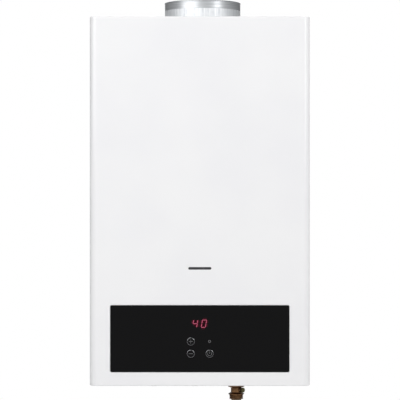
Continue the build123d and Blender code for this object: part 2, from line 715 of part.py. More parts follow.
def control_housing():
    """Moulded tray behind the glass, clear of the display block, with posts for both boards."""
    flange_w = GLASS_W - 2 * HOUSING_WALL
    flange_h = GLASS_H - 2 * HOUSING_WALL
    flange_y = GLASS_Y1 + HOUSING_WALL
    half = HOUSING_W / 2
    inner = half - HOUSING_WALL
    body = front_plate(flange_w, flange_h, HOUSING_WALL, 0, GLASS_Z, GLASS_Y1, flange_y)
    body += slab((-half, half), (GLASS_Y1, HOUSING_Y1), (HOUSING_Z0, HOUSING_Z1))
    body -= slab((-inner, inner), (GLASS_Y1 - HOUSING_WALL, HOUSING_Y1 - HOUSING_WALL),
                 (HOUSING_Z0 + HOUSING_WALL, HOUSING_Z1 - HOUSING_WALL))
    body -= front_plate(DIGITS_W + 2 * SEAT_GAP, DIGITS_H + 2 * SEAT_GAP, SHEET, 0, DIGITS_Z,
                        GLASS_Y1, DISPLAY_BOARD_Y)
    floor_y = HOUSING_Y1 - HOUSING_WALL
    for width, board_y in ((DISPLAY_BOARD_W, DISPLAY_BOARD_Y), (MAIN_BOARD_W, MAIN_BOARD_Y)):
        for x, z in post_spots(width):
            body += rod((x, floor_y, z), FRONT, POST_R, floor_y - board_y - BOARD_T)
    return body


def circuit_board(width, board_y):
    """Board on its posts."""
    half = width / 2
    return slab((-half, half), (board_y, board_y + BOARD_T),
                (HOUSING_Z - BOARD_H / 2, HOUSING_Z + BOARD_H / 2))


def main_board():
    """Rear board, pierced where the display board's posts pass."""
    board = circuit_board(MAIN_BOARD_W, MAIN_BOARD_Y)
    for x, z in post_spots(DISPLAY_BOARD_W):
        board -= rod((x, MAIN_BOARD_Y - BOARD_T, z), BACK, POST_R + HOLE_GAP, 3 * BOARD_T)
    return board


def display_module():
    """Two-digit display block on the display board."""
    return front_plate(DIGITS_W, DIGITS_H, SHEET, 0, DIGITS_Z, GLASS_Y1 + SEAT_GAP, DISPLAY_BOARD_Y)


def tact_switches():
    """A small switch behind each button."""
    y0 = DISPLAY_BOARD_Y - SWITCH_H
    return group([front_plate(SWITCH_SIZE, SWITCH_SIZE, SHEET / 2, x, z, y0, DISPLAY_BOARD_Y)
                  for x, z in BUTTONS.values()])


def push_button(x, z):
    """Button cap flush with the glass, its collar behind it and the stem over the switch."""
    collar_y = GLASS_Y1 + SEAT_GAP
    stem_end = DISPLAY_BOARD_Y - SWITCH_H - BUTTON_TRAVEL - SEAT_GAP
    cap = rod((x, GLASS_Y0, z), BACK, BUTTON_R, collar_y - GLASS_Y0)
    cap += rod((x, collar_y, z), BACK, BUTTON_R + BUTTON_COLLAR, SHEET)
    return cap + rod((x, collar_y, z), BACK, BUTTON_STEM_R, stem_end - collar_y)


def indicator_lens():
    """Light pipe from the display board to the glass."""
    x, z = LENS_AT
    return rod((x, GLASS_Y0, z), BACK, LENS_R, DISPLAY_BOARD_Y - GLASS_Y0)


def panel_brackets():
    """Channels that stand the housing on the base plate."""
    middle = (GLASS_Y1 + HOUSING_Y1) / 2
    half = PANEL_BRACKET_W / 2
    x0 = PANEL_BRACKET_X - half
    x1 = PANEL_BRACKET_X + half
    channel = slab((x0, x1), (middle - half, middle + half), (BASE_TOP, HOUSING_Z0))
    channel -= slab((x0 + BRACKET_WALL, x1 - BRACKET_WALL), (middle - 2 * half, middle + 2 * half),
                    (BASE_TOP + BRACKET_WALL, HOUSING_Z0 - BRACKET_WALL))
    return mirrored_pair(channel)


# Heat exchanger

def core_block(z0, z1, inset=0.0):
    """Block on the exchanger's plan, with its upright edges rounded for the wound pipe."""
    half = CORE_X - inset
    block = slab((-half, half), (CORE_Y0 + inset, CORE_Y1 - inset), (z0, z1))
    return fillet(block.edges().filter_by(Axis.Z), CORE_CORNER - inset)


def exchanger_shell():
    """Copper shell, open above and below, pierced for the tubes and the view of the flame."""
    shell = core_block(CORE_Z0, CORE_Z1) - core_block(CORE_Z0 - SHEET, CORE_Z1 + SHEET, CORE_SHEET)
    for y in TUBE_YS:
        shell -= rod((-CORE_W, y, FIN_Z), RIGHT, PIPE_R + SLIP_GAP, 2 * CORE_W)
    return shell - front_plate(SIGHT_W, SIGHT_H, SHEET, 0, SIGHT_Z, CORE_Y0 - SHEET, CORE_Y0 + 2 * SHEET)


def exchanger_fins():
    """Row of thin copper fins on the tubes."""
    half_y = CORE_D / 2 - CORE_SHEET - SEAT_GAP
    fin = slab((0, FIN_T), (CORE_Y - half_y, CORE_Y + half_y), (FIN_Z - FIN_H / 2, FIN_Z + FIN_H / 2))
    for y in TUBE_YS:
        fin -= rod((-FIN_T, y, FIN_Z), RIGHT, PIPE_R + SLIP_GAP, 3 * FIN_T)
    count = int((CORE_W - 2 * FIN_PITCH) / FIN_PITCH)
    first = -(count - 1) * FIN_PITCH / 2 - FIN_T / 2
    return group([Pos(first + i * FIN_PITCH, 0, 0) * fin for i in range(count)])


def exchanger_tube():
    """Tube that runs to and fro through the fins."""
    reach = CORE_X + TUBE_SPUR
    bend = TUBE_PITCH / 2
    runs = []
    for i, y in enumerate(TUBE_YS):
        heading = -1 if i % 2 == 0 else 1
        runs.append(Line((-heading * reach, y, FIN_Z), (heading * reach, y, FIN_Z)))
        if i + 1 < TUBE_COUNT:
            next_y = TUBE_YS[i + 1]
            crown = (heading * (reach + bend), (y + next_y) / 2, FIN_Z)
            runs.append(ThreePointArc((heading * reach, y, FIN_Z), crown, (heading * reach, next_y, FIN_Z)))
    path = Wire(runs)
    start = Plane(origin=path @ 0, z_dir=path % 0)
    return sweep(start * (Circle(PIPE_R) - Circle(PIPE_R - PIPE_WALL)), path=path)


def coil_route():
    """Points of the pipe that winds up round the shell and turns in to the first tube."""
    corners = [(COIL_X, COIL_Y), (-COIL_X, COIL_Y), (-COIL_X, -COIL_Y), (COIL_X, -COIL_Y)] * COIL_TURNS
    step = (COIL_Z1 - COIL_Z0) / (len(corners) - 1)
    points = [(COIL_X, CORE_Y, COIL_Z0)]
    points += [(x, CORE_Y + y, COIL_Z0 + i * step) for i, (x, y) in enumerate(corners)]
    riser = CORE_X + COIL_RISER
    points[-1] = (riser, CORE_Y - COIL_Y, COIL_Z1)
    first_y = TUBE_YS[0]
    tube_end = (CORE_X + TUBE_SPUR, first_y, FIN_Z)
    return points + [(riser, first_y, COIL_Z1), (riser, first_y, FIN_Z), tube_end]


def coil_pipe():
    """Pipe wound round the shell."""
    points = coil_route()
    bends = [COIL_BEND_R] * (4 * COIL_TURNS) + [PIPE_BEND_R] * 2
    return tube(points, bends, PIPE_R, PIPE_WALL)


def core_bracket(z0):
    """Boxed bracket between the back plate and the burner box or the hood."""
    half = BRACKET_W / 2
    form = slab((-half, half), (CORE_Y1, -SHEET), (z0, z0 + BRACKET_H))
    inner = half - BRACKET_WALL
    return form - slab((-inner, inner), (CORE_Y1 + BRACKET_WALL, -SHEET - BRACKET_WALL),
                       (z0 - SHEET, z0 + BRACKET_H + SHEET))


def core_brackets():
    """Lower and upper brackets."""
    return group([core_bracket(BURNER_Z0 + BRACKET_EDGE), core_bracket(CORE_Z1 + BRACKET_EDGE)])


# Burner

def burner_box():
    """Open-topped box with air slots between the strips and holes in its front."""
    box = core_block(BURNER_Z0, CORE_Z0) - core_block(BURNER_Z0 + CORE_SHEET, CORE_Z0 + SHEET, CORE_SHEET)
    for x in STRIP_XS:
        box -= rod((x, CORE_Y0 - SHEET, NOZZLE_Z), BACK, NOZZLE_HOLE_R, 3 * SHEET)
    for left in STRIP_XS[:-1]:
        x = left + STRIP_PITCH / 2
        box -= slab((x - AIR_SLOT_W / 2, x + AIR_SLOT_W / 2), (CORE_Y0 + CORE_BACK, CORE_Y1 - CORE_BACK),
                    (BURNER_Z0 - CORE_SHEET, BURNER_Z0 + 2 * CORE_SHEET))
    for x in ELECTRODE_X:
        box -= rod((x, CORE_Y0 - SHEET, ELECTRODE_Z), BACK, CERAMIC_R + SLIP_GAP, 3 * SHEET)
    return box


def burner_strip():
    """One slotted burner with its mixing throat."""
    z0 = BURNER_Z0 + CORE_SHEET
    z1 = z0 + STRIP_H
    right = [
        (STRIP_BASE / 2, z0), (STRIP_BASE / 2, z0 + STRIP_FOOT_H),
        (STRIP_WAIST / 2, z1 - STRIP_HEAD_H - PORT_D),
        (STRIP_HEAD / 2, z1 - STRIP_HEAD_H), (STRIP_HEAD / 2, z1),
    ]
    outline = right + [(-x, z) for x, z in reversed(right)]
    y0 = CORE_Y0 + CORE_SHEET + STRIP_END
    y1 = CORE_Y1 - CORE_SHEET - STRIP_END
    plane = Plane(origin=(0, y1, 0), x_dir=RIGHT, z_dir=FRONT)
    strip = extrude(plane * make_face(Polyline(*outline, close=True)), y1 - y0)
    ports = int((y1 - y0) / PORT_PITCH) - 1
    first = (y0 + y1) / 2 - (ports - 1) * PORT_PITCH / 2
    cuts = [slab((-STRIP_HEAD, STRIP_HEAD), (first + i * PORT_PITCH, first + i * PORT_PITCH + PORT_W),
                 (z1 - PORT_D, z1 + PORT_D)) for i in range(ports)]
    strip -= cuts
    return strip - rod((0, y0 - SHEET, NOZZLE_Z), BACK, VENTURI_R, VENTURI_L)


def burner_strips():
    """Row of burners on the floor of the box."""
    strip = burner_strip()
    return group([Pos(x, 0, 0) * strip for x in STRIP_XS])


def gas_manifold():
    """Gas rail in front of the burner, with a tab at each end."""
    half = MANIFOLD_W / 2
    z0 = NOZZLE_Z - MANIFOLD_H / 2
    z1 = NOZZLE_Z + MANIFOLD_H / 2
    rail = hollow_box((-half, half), (MANIFOLD_Y1 - MANIFOLD_D, MANIFOLD_Y1), (z0, z1), MANIFOLD_WALL)
    for side in (-1, 1):
        rail += slab((side * (half - MANIFOLD_WALL), side * (half + MANIFOLD_TAB)),
                     (MANIFOLD_Y1 - MANIFOLD_WALL, CORE_Y0), (z0 + MANIFOLD_WALL, z1 - MANIFOLD_WALL))
    for x in STRIP_XS:
        rail -= rod((x, MANIFOLD_Y1 - 2 * MANIFOLD_WALL, NOZZLE_Z), BACK, NOZZLE_TIP_R, 3 * MANIFOLD_WALL)
    return rail - rod((GAS_X, MANIFOLD_Y, z0 - SHEET), UP, GAS_PIPE_R - GAS_PIPE_WALL, 2 * MANIFOLD_WALL)


def gas_nozzles():
    """Brass nozzles of the gas rail."""
    length = MANIFOLD_SET - NOZZLE_TIP_L - CORE_SHEET
    nozzle = hex_bar((0, MANIFOLD_Y1, NOZZLE_Z), BACK, 2 * NOZZLE_R, length)
    nozzle += rod((0, MANIFOLD_Y1, NOZZLE_Z), BACK, 2 * NOZZLE_TIP_R, length + NOZZLE_TIP_L)
    nozzle -= rod((0, MANIFOLD_Y1 - SHEET, NOZZLE_Z), BACK, NOZZLE_TIP_R / 2, 2 * MANIFOLD_SET)
    return group([Pos(x, 0, 0) * nozzle for x in STRIP_XS])


def electrodes():
    """Spark and flame rods, each in its ceramic."""
    pieces = []
    for x in ELECTRODE_X:
        y0 = CORE_Y0 - CERAMIC_OUT
        ceramic = rod((x, y0, ELECTRODE_Z), BACK, CERAMIC_R, CERAMIC_OUT + CERAMIC_IN)
        ceramic += rod((x, CORE_Y0, ELECTRODE_Z), FRONT, CERAMIC_FLANGE_R, CERAMIC_FLANGE_T)
        ceramic -= rod((x, y0 - SHEET, ELECTRODE_Z), BACK, ELECTRODE_R + SLIP_GAP, 2 * ELECTRODE_L)
        pieces += [ceramic, rod((x, y0 - ELECTRODE_TAIL, ELECTRODE_Z), BACK, ELECTRODE_R, ELECTRODE_L)]
    return group(pieces)


# Exhaust fan

def scroll_face(grow):
    """Scroll outline with its duct, as seen from the front, about the fan axis."""
    ax = -SCROLL_STEP / 2
    az = SCROLL_STEP / 2
    radii = [SCROLL_R + SCROLL_STEP * i for i in range(1, 4)]
    low = az - SCROLL_STEP
    far = ax + SCROLL_STEP
    top = FAN_DROP
    arcs = [
        CenterArc((ax, low), radii[0], 90, 90),
        CenterArc((far, low), radii[1], 180, 90),
        CenterArc((far, az), radii[2], 270, 90),
    ]
    right = far + radii[2]
    duct = Polyline((right, az), (right, top), (ax, top), (ax, low + radii[0]))
    face = make_face(Curve() + arcs + duct)
    return offset(face, grow, kind=Kind.INTERSECTION) if grow else face


def fan_scroll():
    """Scroll housing open to the flue, with its outlet plate and hose tap."""
    plane = Plane(origin=(FAN_X, SCROLL_Y1, FAN_Z), x_dir=RIGHT, z_dir=FRONT)
    body = extrude(plane * scroll_face(CORE_SHEET), SCROLL_W)
    top = UNDER_TOP
    body -= slab((-CASE_W, CASE_W), (SCROLL_Y0 - SHEET, SCROLL_Y1 + SHEET), (top, top + FAN_DROP))
    rim = slab((FLUE_X - OUTLET_RIM, FLUE_X + OUTLET_RIM), (FLUE_Y - OUTLET_RIM_D, FLUE_Y + OUTLET_RIM_D),
               (top - CORE_SHEET, top))
    for x, y in collar_screw_spots():
        rim -= rod((x, y, top - 2 * CORE_SHEET), UP, SCREW_R + SLIP_GAP, 3 * CORE_SHEET)
    body += rim
    body += rod((DUCT_RIGHT, FLUE_Y, FAN_Z + HOSE_RISE), RIGHT, STUB_R, STUB_L)
    inner = Plane(origin=(FAN_X, SCROLL_Y1 - CORE_SHEET, FAN_Z), x_dir=RIGHT, z_dir=FRONT)
    body -= extrude(inner * scroll_face(0), SCROLL_W - 2 * CORE_SHEET)
    body -= rod((FAN_X, SCROLL_Y1 + SHEET, FAN_Z), FRONT, INLET_EYE_R, 3 * SHEET)
    body -= rod((FAN_X, SCROLL_Y0 - SHEET, FAN_Z), BACK, SHAFT_HOLE_R, 3 * SHEET)
    return body - rod((DUCT_RIGHT - 2 * SHEET, FLUE_Y, FAN_Z + HOSE_RISE), RIGHT, STUB_R / 2, 2 * STUB_L)


def collector_hood():
    """Hood over the exchanger with the rear plenum that feeds the fan."""
    half = PLENUM_W / 2
    plenum_z1 = FAN_Z + INLET_EYE_R + EYE_MARGIN
    hood = core_block(CORE_Z1, HOOD_Z1)
    hood += slab((FAN_X - half, FAN_X + half), (SCROLL_Y1, CORE_Y1), (CORE_Z1, plenum_z1))
    t = CORE_SHEET
    hood -= core_block(CORE_Z1 - t, HOOD_Z1 - t, t)
    hood -= slab((FAN_X - half + t, FAN_X + half - t), (SCROLL_Y1 + t, CORE_Y1 - t),
                 (CORE_Z1, plenum_z1 - t))
    return hood - rod((FAN_X, SCROLL_Y1 - t, FAN_Z), BACK, INLET_EYE_R, 3 * t)


FAN_Y0 = SCROLL_Y0 + CORE_SHEET + FAN_END_GAP
FAN_Y1 = SCROLL_Y1 - CORE_SHEET - FAN_END_GAP


def fan_impeller():
    """Blower wheel: back disc, blades and end ring on a hub."""
    wheel = rod((FAN_X, FAN_Y0, FAN_Z), BACK, FAN_R, FAN_DISC_T)
    wheel += rod((FAN_X, FAN_Y0, FAN_Z), BACK, FAN_HUB_R, FAN_HUB_L)
    ring = rod((FAN_X, FAN_Y1, FAN_Z), FRONT, FAN_R, FAN_DISC_T)
    wheel += ring - rod((FAN_X, FAN_Y1 + SHEET, FAN_Z), FRONT, FAN_R - FAN_RING_W, 3 * FAN_DISC_T)
    middle = (FAN_Y0 + FAN_Y1) / 2
    blade = Rot(0, BLADE_TILT, 0) * Box(BLADE_L, FAN_Y1 - FAN_Y0 - FAN_DISC_T, BLADE_T)
    blade = Pos(FAN_R - BLADE_SET, 0, 0) * blade
    turn = 360 / FAN_BLADES
    wheel += [Pos(FAN_X, middle, FAN_Z) * Rot(0, i * turn, 0) * blade for i in range(FAN_BLADES)]
    return wheel - rod((FAN_X, FAN_Y0 - SHEET, FAN_Z), BACK, SHAFT_R + SLIP_GAP / 2, FAN_HUB_L + 2 * SHEET)


def fan_shaft():
    """Motor shaft through the hub."""
    start = SCROLL_Y0 - SHAFT_IN_MOTOR
    return rod((FAN_X, start, FAN_Z), BACK, SHAFT_R, FAN_Y0 + FAN_HUB_L - start)


def fan_motor():
    """Round motor on the front of the scroll."""
    motor = rod((FAN_X, SCROLL_Y0, FAN_Z), FRONT, MOTOR_R, MOTOR_L)
    motor = fillet(motor.edges().sort_by(Axis.Y)[0], MOTOR_RIM_T)
    motor += rod((FAN_X, SCROLL_Y0, FAN_Z), FRONT, MOTOR_RIM_R, MOTOR_RIM_T)
    bore = SHAFT_IN_MOTOR + SEAT_GAP
    return motor - rod((FAN_X, SCROLL_Y0 - bore, FAN_Z), BACK, SHAFT_R + RUN_GAP, bore + SHEET)


def pressure_switch():
    """Round air-pressure switch on the side of the hood."""
    disc = rod((CORE_X, FLUE_Y, SWITCH_DISC_Z), RIGHT, SWITCH_DISC_R, SWITCH_DISC_L)
    disc = fillet(disc.edges().sort_by(Axis.X)[-1], SHEET)
    return disc + rod((SWITCH_DISC_X, FLUE_Y, SWITCH_DISC_Z), UP, STUB_R, SWITCH_DISC_R + STUB_L)


def pressure_hose():
    """Hose from the switch to the tap on the duct."""
    tap_z = FAN_Z + HOSE_RISE
    start_z = SWITCH_DISC_Z + SWITCH_DISC_R + SHEET
    return tube([
        (SWITCH_DISC_X, FLUE_Y, start_z), (SWITCH_DISC_X, FLUE_Y, tap_z),
        (DUCT_RIGHT + SHEET, FLUE_Y, tap_z),
    ], HOSE_BEND_R, HOSE_R, HOSE_R - STUB_R - SLIP_GAP)


def overheat_thermostat():
    """Snap disc on the front of the hood."""
    at = (THERMOSTAT_X, CORE_Y0, CORE_Z1 + HOOD_H / 2)
    disc = rod(at, FRONT, THERMOSTAT_R, THERMOSTAT_L)
    return disc + rod(at, FRONT, THERMOSTAT_R + 2 * SHEET, SHEET)


# Water

def drain_point(reach):
    """Point on the drain plug's axis at a distance from the inlet's axis."""
    return (COLD_X + reach * DRAIN_AXIS[0], PLUMB_Y + reach * DRAIN_AXIS[1], DRAIN_Z)


def inlet_valve_body():
    """Brass cold-water inlet with its thread, seat and drain boss."""
    outer = [
        (INLET_R, FITTING_TOP), (INLET_R, BASE_Z),
        (INLET_SEAT_R, BASE_Z), (INLET_SEAT_R, BASE_Z - INLET_SEAT_T),
        (FLARE_R, BASE_Z - INLET_SEAT_T), (FLARE_R, BOTTOM_Z - FLARE_DROP),
        (NECK_R, BOTTOM_Z - NECK_DROP), (NECK_R, INLET_THREAD_Z + SHOULDER_H),
        (SHOULDER_R, INLET_THREAD_Z + SHOULDER_LAND), (SHOULDER_R, INLET_THREAD_Z),
    ]
    step_z = INLET_END + FILTER_L
    inner = [(FILTER_BORE_R, INLET_END), (FILTER_BORE_R, step_z), (FITTING_BORE_R, step_z),
             (FITTING_BORE_R, FITTING_TOP)]
    body = turned(outer + thread(INLET_THREAD_Z, INLET_END) + inner, COLD_X, PLUMB_Y)
    root = FILTER_BORE_R + SHEET
    body += rod(drain_point(root), DRAIN_AXIS, DRAIN_BOSS_R, DRAIN_BOSS_END - root)
    return body - rod(drain_point(FITTING_BORE_R), DRAIN_AXIS, DRAIN_SHANK_R + SLIP_GAP, DRAIN_BOSS_END)


def inlet_filter():
    """Grey strainer with a lip, in the mouth of the inlet."""
    radius = FILTER_BORE_R - SLIP_GAP
    z0 = INLET_END - FILTER_OUT
    body = rod((COLD_X, PLUMB_Y, z0), UP, radius, FILTER_L)
    body += rod((COLD_X, PLUMB_Y, z0), UP, FILTER_LIP_R, FILTER_OUT - SEAT_GAP)
    return body - rod((COLD_X, PLUMB_Y, z0 - SHEET), UP, radius - FILTER_WALL, FILTER_L)


def drain_plug():
    """Small hexagonal plug."""
    seat = DRAIN_BOSS_END + DRAIN_SEAL_T
    head = hex_bar(drain_point(seat), DRAIN_AXIS, DRAIN_HEAD_AF, DRAIN_HEAD_L)
    start = seat - DRAIN_SHANK_L
    return head + rod(drain_point(start), DRAIN_AXIS, DRAIN_SHANK_R, DRAIN_SHANK_L)


def drain_seal():
    """Ring between the plug's head and its boss."""
    ring = rod(drain_point(DRAIN_BOSS_END), DRAIN_AXIS, DRAIN_SEAL_R, DRAIN_SEAL_T)
    return ring - rod(drain_point(DRAIN_SHANK_L), DRAIN_AXIS, DRAIN_SHANK_R + RUN_GAP, 2 * DRAIN_BOSS_END)


def flow_sensor_body():
    """Round chamber over the inlet with a bearing bar at each end."""
    z0 = FITTING_TOP
    z1 = SENSOR_Z1
    body = turned([
        (FITTING_BORE_R, z0), (SENSOR_R, z0), (SENSOR_R, z1), (FITTING_BORE_R, z1),
        (FITTING_BORE_R, z1 - SENSOR_END), (SENSOR_CAVITY_R, z1 - SENSOR_END),
        (SENSOR_CAVITY_R, z0 + SENSOR_END), (FITTING_BORE_R, z0 + SENSOR_END),
    ], COLD_X, PLUMB_Y)
    half = SENSOR_BAR / 2 + ROTOR_AXLE_R
    reach = SENSOR_CAVITY_R + SHEET
    for bar_z in (z0 + SENSOR_END, z1 - SENSOR_END - SENSOR_BAR):
        body += slab((COLD_X - reach, COLD_X + reach), (PLUMB_Y - half, PLUMB_Y + half),
                     (bar_z, bar_z + SENSOR_BAR))
    return body - rod((COLD_X, PLUMB_Y, z0), UP, ROTOR_AXLE_R + RUN_GAP, SENSOR_H)


def flow_rotor():
    """Turbine wheel of the flow sensor."""
    bar = SENSOR_END + SENSOR_BAR
    z0 = FITTING_TOP + bar + SEAT_GAP
    z1 = SENSOR_Z1 - bar - SEAT_GAP
    axle_z = FITTING_TOP + SENSOR_END
    wheel = rod((COLD_X, PLUMB_Y, axle_z), UP, ROTOR_AXLE_R, SENSOR_H - 2 * SENSOR_END)
    wheel += rod((COLD_X, PLUMB_Y, z0), UP, ROTOR_HUB_R, z1 - z0)
    reach = SENSOR_CAVITY_R - ROTOR_GAP
    vane = Pos(reach / 2, 0, (z0 + z1) / 2) * Box(reach, ROTOR_VANE_T, z1 - z0)
    turn = 360 / ROTOR_VANES
    return wheel + [Pos(COLD_X, PLUMB_Y, 0) * Rot(0, 0, i * turn) * vane for i in range(ROTOR_VANES)]


def cold_pipe():
    """Pipe from the flow sensor to the foot of the coil."""
    return tube([
        (COLD_X, PLUMB_Y, SENSOR_Z1), (COLD_X, PLUMB_Y, PIPE_RUN_Z), (COIL_X, COLD_RISER_Y, PIPE_RUN_Z),
        (COIL_X, COLD_RISER_Y, COIL_Z0), (COIL_X, CORE_Y, COIL_Z0),
    ], PIPE_BEND_R, PIPE_R, PIPE_WALL)


def hot_pipe():
    """Pipe from the last tube down to the hot outlet."""
    y = TUBE_YS[-1]
    x = CORE_X + HOT_RISER
    return tube([
        (-CORE_X - TUBE_SPUR, y, FIN_Z), (-x, y, FIN_Z), (-x, y, PIPE_RUN_Z),
        (-HOT_X, PLUMB_Y, PIPE_RUN_Z), (-HOT_X, PLUMB_Y, FITTING_TOP),
    ], PIPE_BEND_R, PIPE_R, PIPE_WALL)


def nipple(x, top):
    """Threaded connection that ends just below the cover."""
    thread_top = BASE_Z - INLET_SEAT_T
    outer = [(INLET_R, top), (INLET_R, BASE_Z), (INLET_SEAT_R, BASE_Z), (INLET_SEAT_R, thread_top)]
    inner = [(FITTING_BORE_R, OUTLET_END), (FITTING_BORE_R, top)]
    return turned(outer + thread(thread_top, OUTLET_END) + inner, x, PLUMB_Y)


def hot_outlet_nipple():
    """Hot-water outlet with a boss for the thermistor."""
    z = (BASE_TOP + FITTING_TOP) / 2
    body = nipple(-HOT_X, FITTING_TOP)
    root = FITTING_BORE_R + SHEET
    return body + rod((-HOT_X, PLUMB_Y - root, z), FRONT, THERMISTOR_BOSS_R, THERMISTOR_BOSS_L - root)


def outlet_thermistor():
    """Temperature probe on the hot outlet."""
    z = (BASE_TOP + FITTING_TOP) / 2
    y = PLUMB_Y - THERMISTOR_BOSS_L
    probe = hex_bar((-HOT_X, y, z), FRONT, 2 * THERMISTOR_R, THERMISTOR_L / 2)
    return probe + rod((-HOT_X, y, z), FRONT, THERMISTOR_R / 2, THERMISTOR_L)


# Gas

def gas_inlet_nipple():
    """Gas connection under the valve."""
    return nipple(GAS_X, VALVE_Z0)


def gas_valve_body():
    """Cast valve body on two legs, bored for the shut-off disc."""
    half = VALVE_W / 2
    body = slab((GAS_X - half, GAS_X + half), (VALVE_Y0, VALVE_Y1), (VALVE_Z0, VALVE_Z1))
    body = fillet(body.edges().filter_by(Axis.Z), VALVE_EDGE_R)
    for side in (-1, 1):
        body += rod((GAS_X + side * VALVE_LEG_SPAN / 2, PLUMB_Y, BASE_TOP), UP, VALVE_LEG_R, VALVE_LEG_H)
    body -= rod((GAS_X, VALVE_Y1 - SEAT_BORE_L, SOLENOID_Z), BACK, SEAT_BORE_R, SEAT_BORE_L + SHEET)
    bore = GAS_PIPE_R - GAS_PIPE_WALL
    body -= rod((GAS_X, PLUMB_Y, VALVE_Z1 + SHEET), DOWN, bore, SOLENOID_DROP)
    return body - rod((GAS_X, PLUMB_Y, VALVE_Z0 - SHEET), UP, FITTING_BORE_R, SOLENOID_DROP)


def main_solenoid():
    """Coil can behind the valve, with the bore of its plunger."""
    can = rod((GAS_X, VALVE_Y1, SOLENOID_Z), BACK, COIL_CAN_R, COIL_CAN_L)
    can = fillet(can.edges().sort_by(Axis.Y)[-1], SHEET)
    bore = COIL_CAN_L - COIL_CAN_END
    return can - rod((GAS_X, VALVE_Y1 - SHEET, SOLENOID_Z), BACK, PLUNGER_R + RUN_GAP, bore + SHEET)


def solenoid_plunger():
    """Plunger with the shut-off disc, closed at rest."""
    y0 = VALVE_Y1 - SEAT_BORE_L + SEAT_GAP
    end = VALVE_Y1 + COIL_CAN_L - COIL_CAN_END - PLUNGER_TRAVEL - SHEET
    disc = rod((GAS_X, y0, SOLENOID_Z), BACK, VALVE_DISC_R, VALVE_DISC_T)
    return disc + rod((GAS_X, y0, SOLENOID_Z), BACK, PLUNGER_R, end - y0)


def modulating_coil():
    """Flame-control coil on the front of the valve."""
    z = VALVE_Z0 + MODULATOR_RISE
    can = rod((GAS_X, VALVE_Y0, z), FRONT, MODULATOR_R, MODULATOR_L)
    return can + rod((GAS_X, VALVE_Y0, z), FRONT, MODULATOR_CAP_R, MODULATOR_L + MODULATOR_CAP_L)


def gas_feed_pipe():
    """Pipe from the valve forward to the gas rail."""
    run_z = BURNER_Z0 - GAS_RUN_DROP
    rail_z = NOZZLE_Z - MANIFOLD_H / 2
    return tube([
        (GAS_X, PLUMB_Y, VALVE_Z1), (GAS_X, PLUMB_Y, run_z),
        (GAS_X, MANIFOLD_Y, run_z), (GAS_X, MANIFOLD_Y, rail_z),
    ], GAS_BEND_R, GAS_PIPE_R, GAS_PIPE_WALL)


# Electrics

def wall_module(x, depth):
    """Moulded box on the back plate."""
    half = MODULE_W / 2
    z0 = BASE_TOP + MODULE_RISE
    box = slab((x - half, x + half), (-SHEET - depth, -SHEET), (z0, z0 + MODULE_H))
    box = fillet(box.edges().filter_by(Axis.Y), MODULE_EDGE_R)
    return fillet(box.faces().sort_by(Axis.Y)[0].edges(), MODULE_EDGE_R / 2)


def igniter_module():
    """Spark generator on the left."""
    return wall_module(-MODULE_X, IGNITER_D)


def power_module():
    """Mains transformer on the right."""
    return wall_module(MODULE_X, POWER_D)


def cable_grommet():
    """Rubber grommet for the supply cable, in the base plate."""
    waist = GROMMET_HOLE_R - SLIP_GAP
    return turned([
        (GROMMET_BORE_R, BASE_Z - GROMMET_LIP), (GROMMET_R, BASE_Z - GROMMET_LIP), (GROMMET_R, BASE_Z),
        (waist, BASE_Z), (waist, BASE_TOP), (GROMMET_R, BASE_TOP), (GROMMET_R, BASE_TOP + GROMMET_LIP),
        (GROMMET_BORE_R, BASE_TOP + GROMMET_LIP),
    ], GROMMET_X, GROMMET_Y)


def electrode_leads():
    """Leads that run side by side from the electrodes round to the igniter's top."""
    tail_y = CORE_Y0 - CERAMIC_OUT - ELECTRODE_TAIL - SEAT_GAP
    igniter_y = -SHEET - IGNITER_D / 2
    igniter_top = BASE_TOP + MODULE_RISE + MODULE_H + SEAT_GAP
    leads = []
    for i, x in enumerate(ELECTRODE_X):
        y = tail_y - LEAD_PITCH * (i + 1)
        side_x = -CORE_X - LEAD_SET - LEAD_PITCH * i
        leads.append(tube([
            (x, tail_y, ELECTRODE_Z), (x, y, ELECTRODE_Z), (side_x, y, ELECTRODE_Z),
            (side_x, igniter_y, ELECTRODE_Z), (side_x, igniter_y, igniter_top),
        ], [LEAD_START_R] + [LEAD_BEND_R] * 2, LEAD_R))
    return leads


def wiring_loom():
    """Cable from the control housing up to the fan motor, and the electrodes' leads."""
    y = HOUSING_Y1 + LOOM_OUT
    motor_y = SCROLL_Y0 - MOTOR_L / 2
    motor_side = FAN_X + MOTOR_R + SEAT_GAP
    slant = LOOM_X - LOOM_OUT_X
    cable = tube([
        (LOOM_OUT_X, HOUSING_Y1, HOUSING_Z), (LOOM_OUT_X, y, HOUSING_Z),
        (LOOM_X, y, HOUSING_Z + slant), (LOOM_X, y, FAN_Z - slant),
        (LOOM_OUT_X, motor_y, FAN_Z), (motor_side, motor_y, FAN_Z),
    ], [LOOM_EXIT_R] + [LOOM_BEND_R] * 3, LOOM_R)
    return group([cable] + electrode_leads())


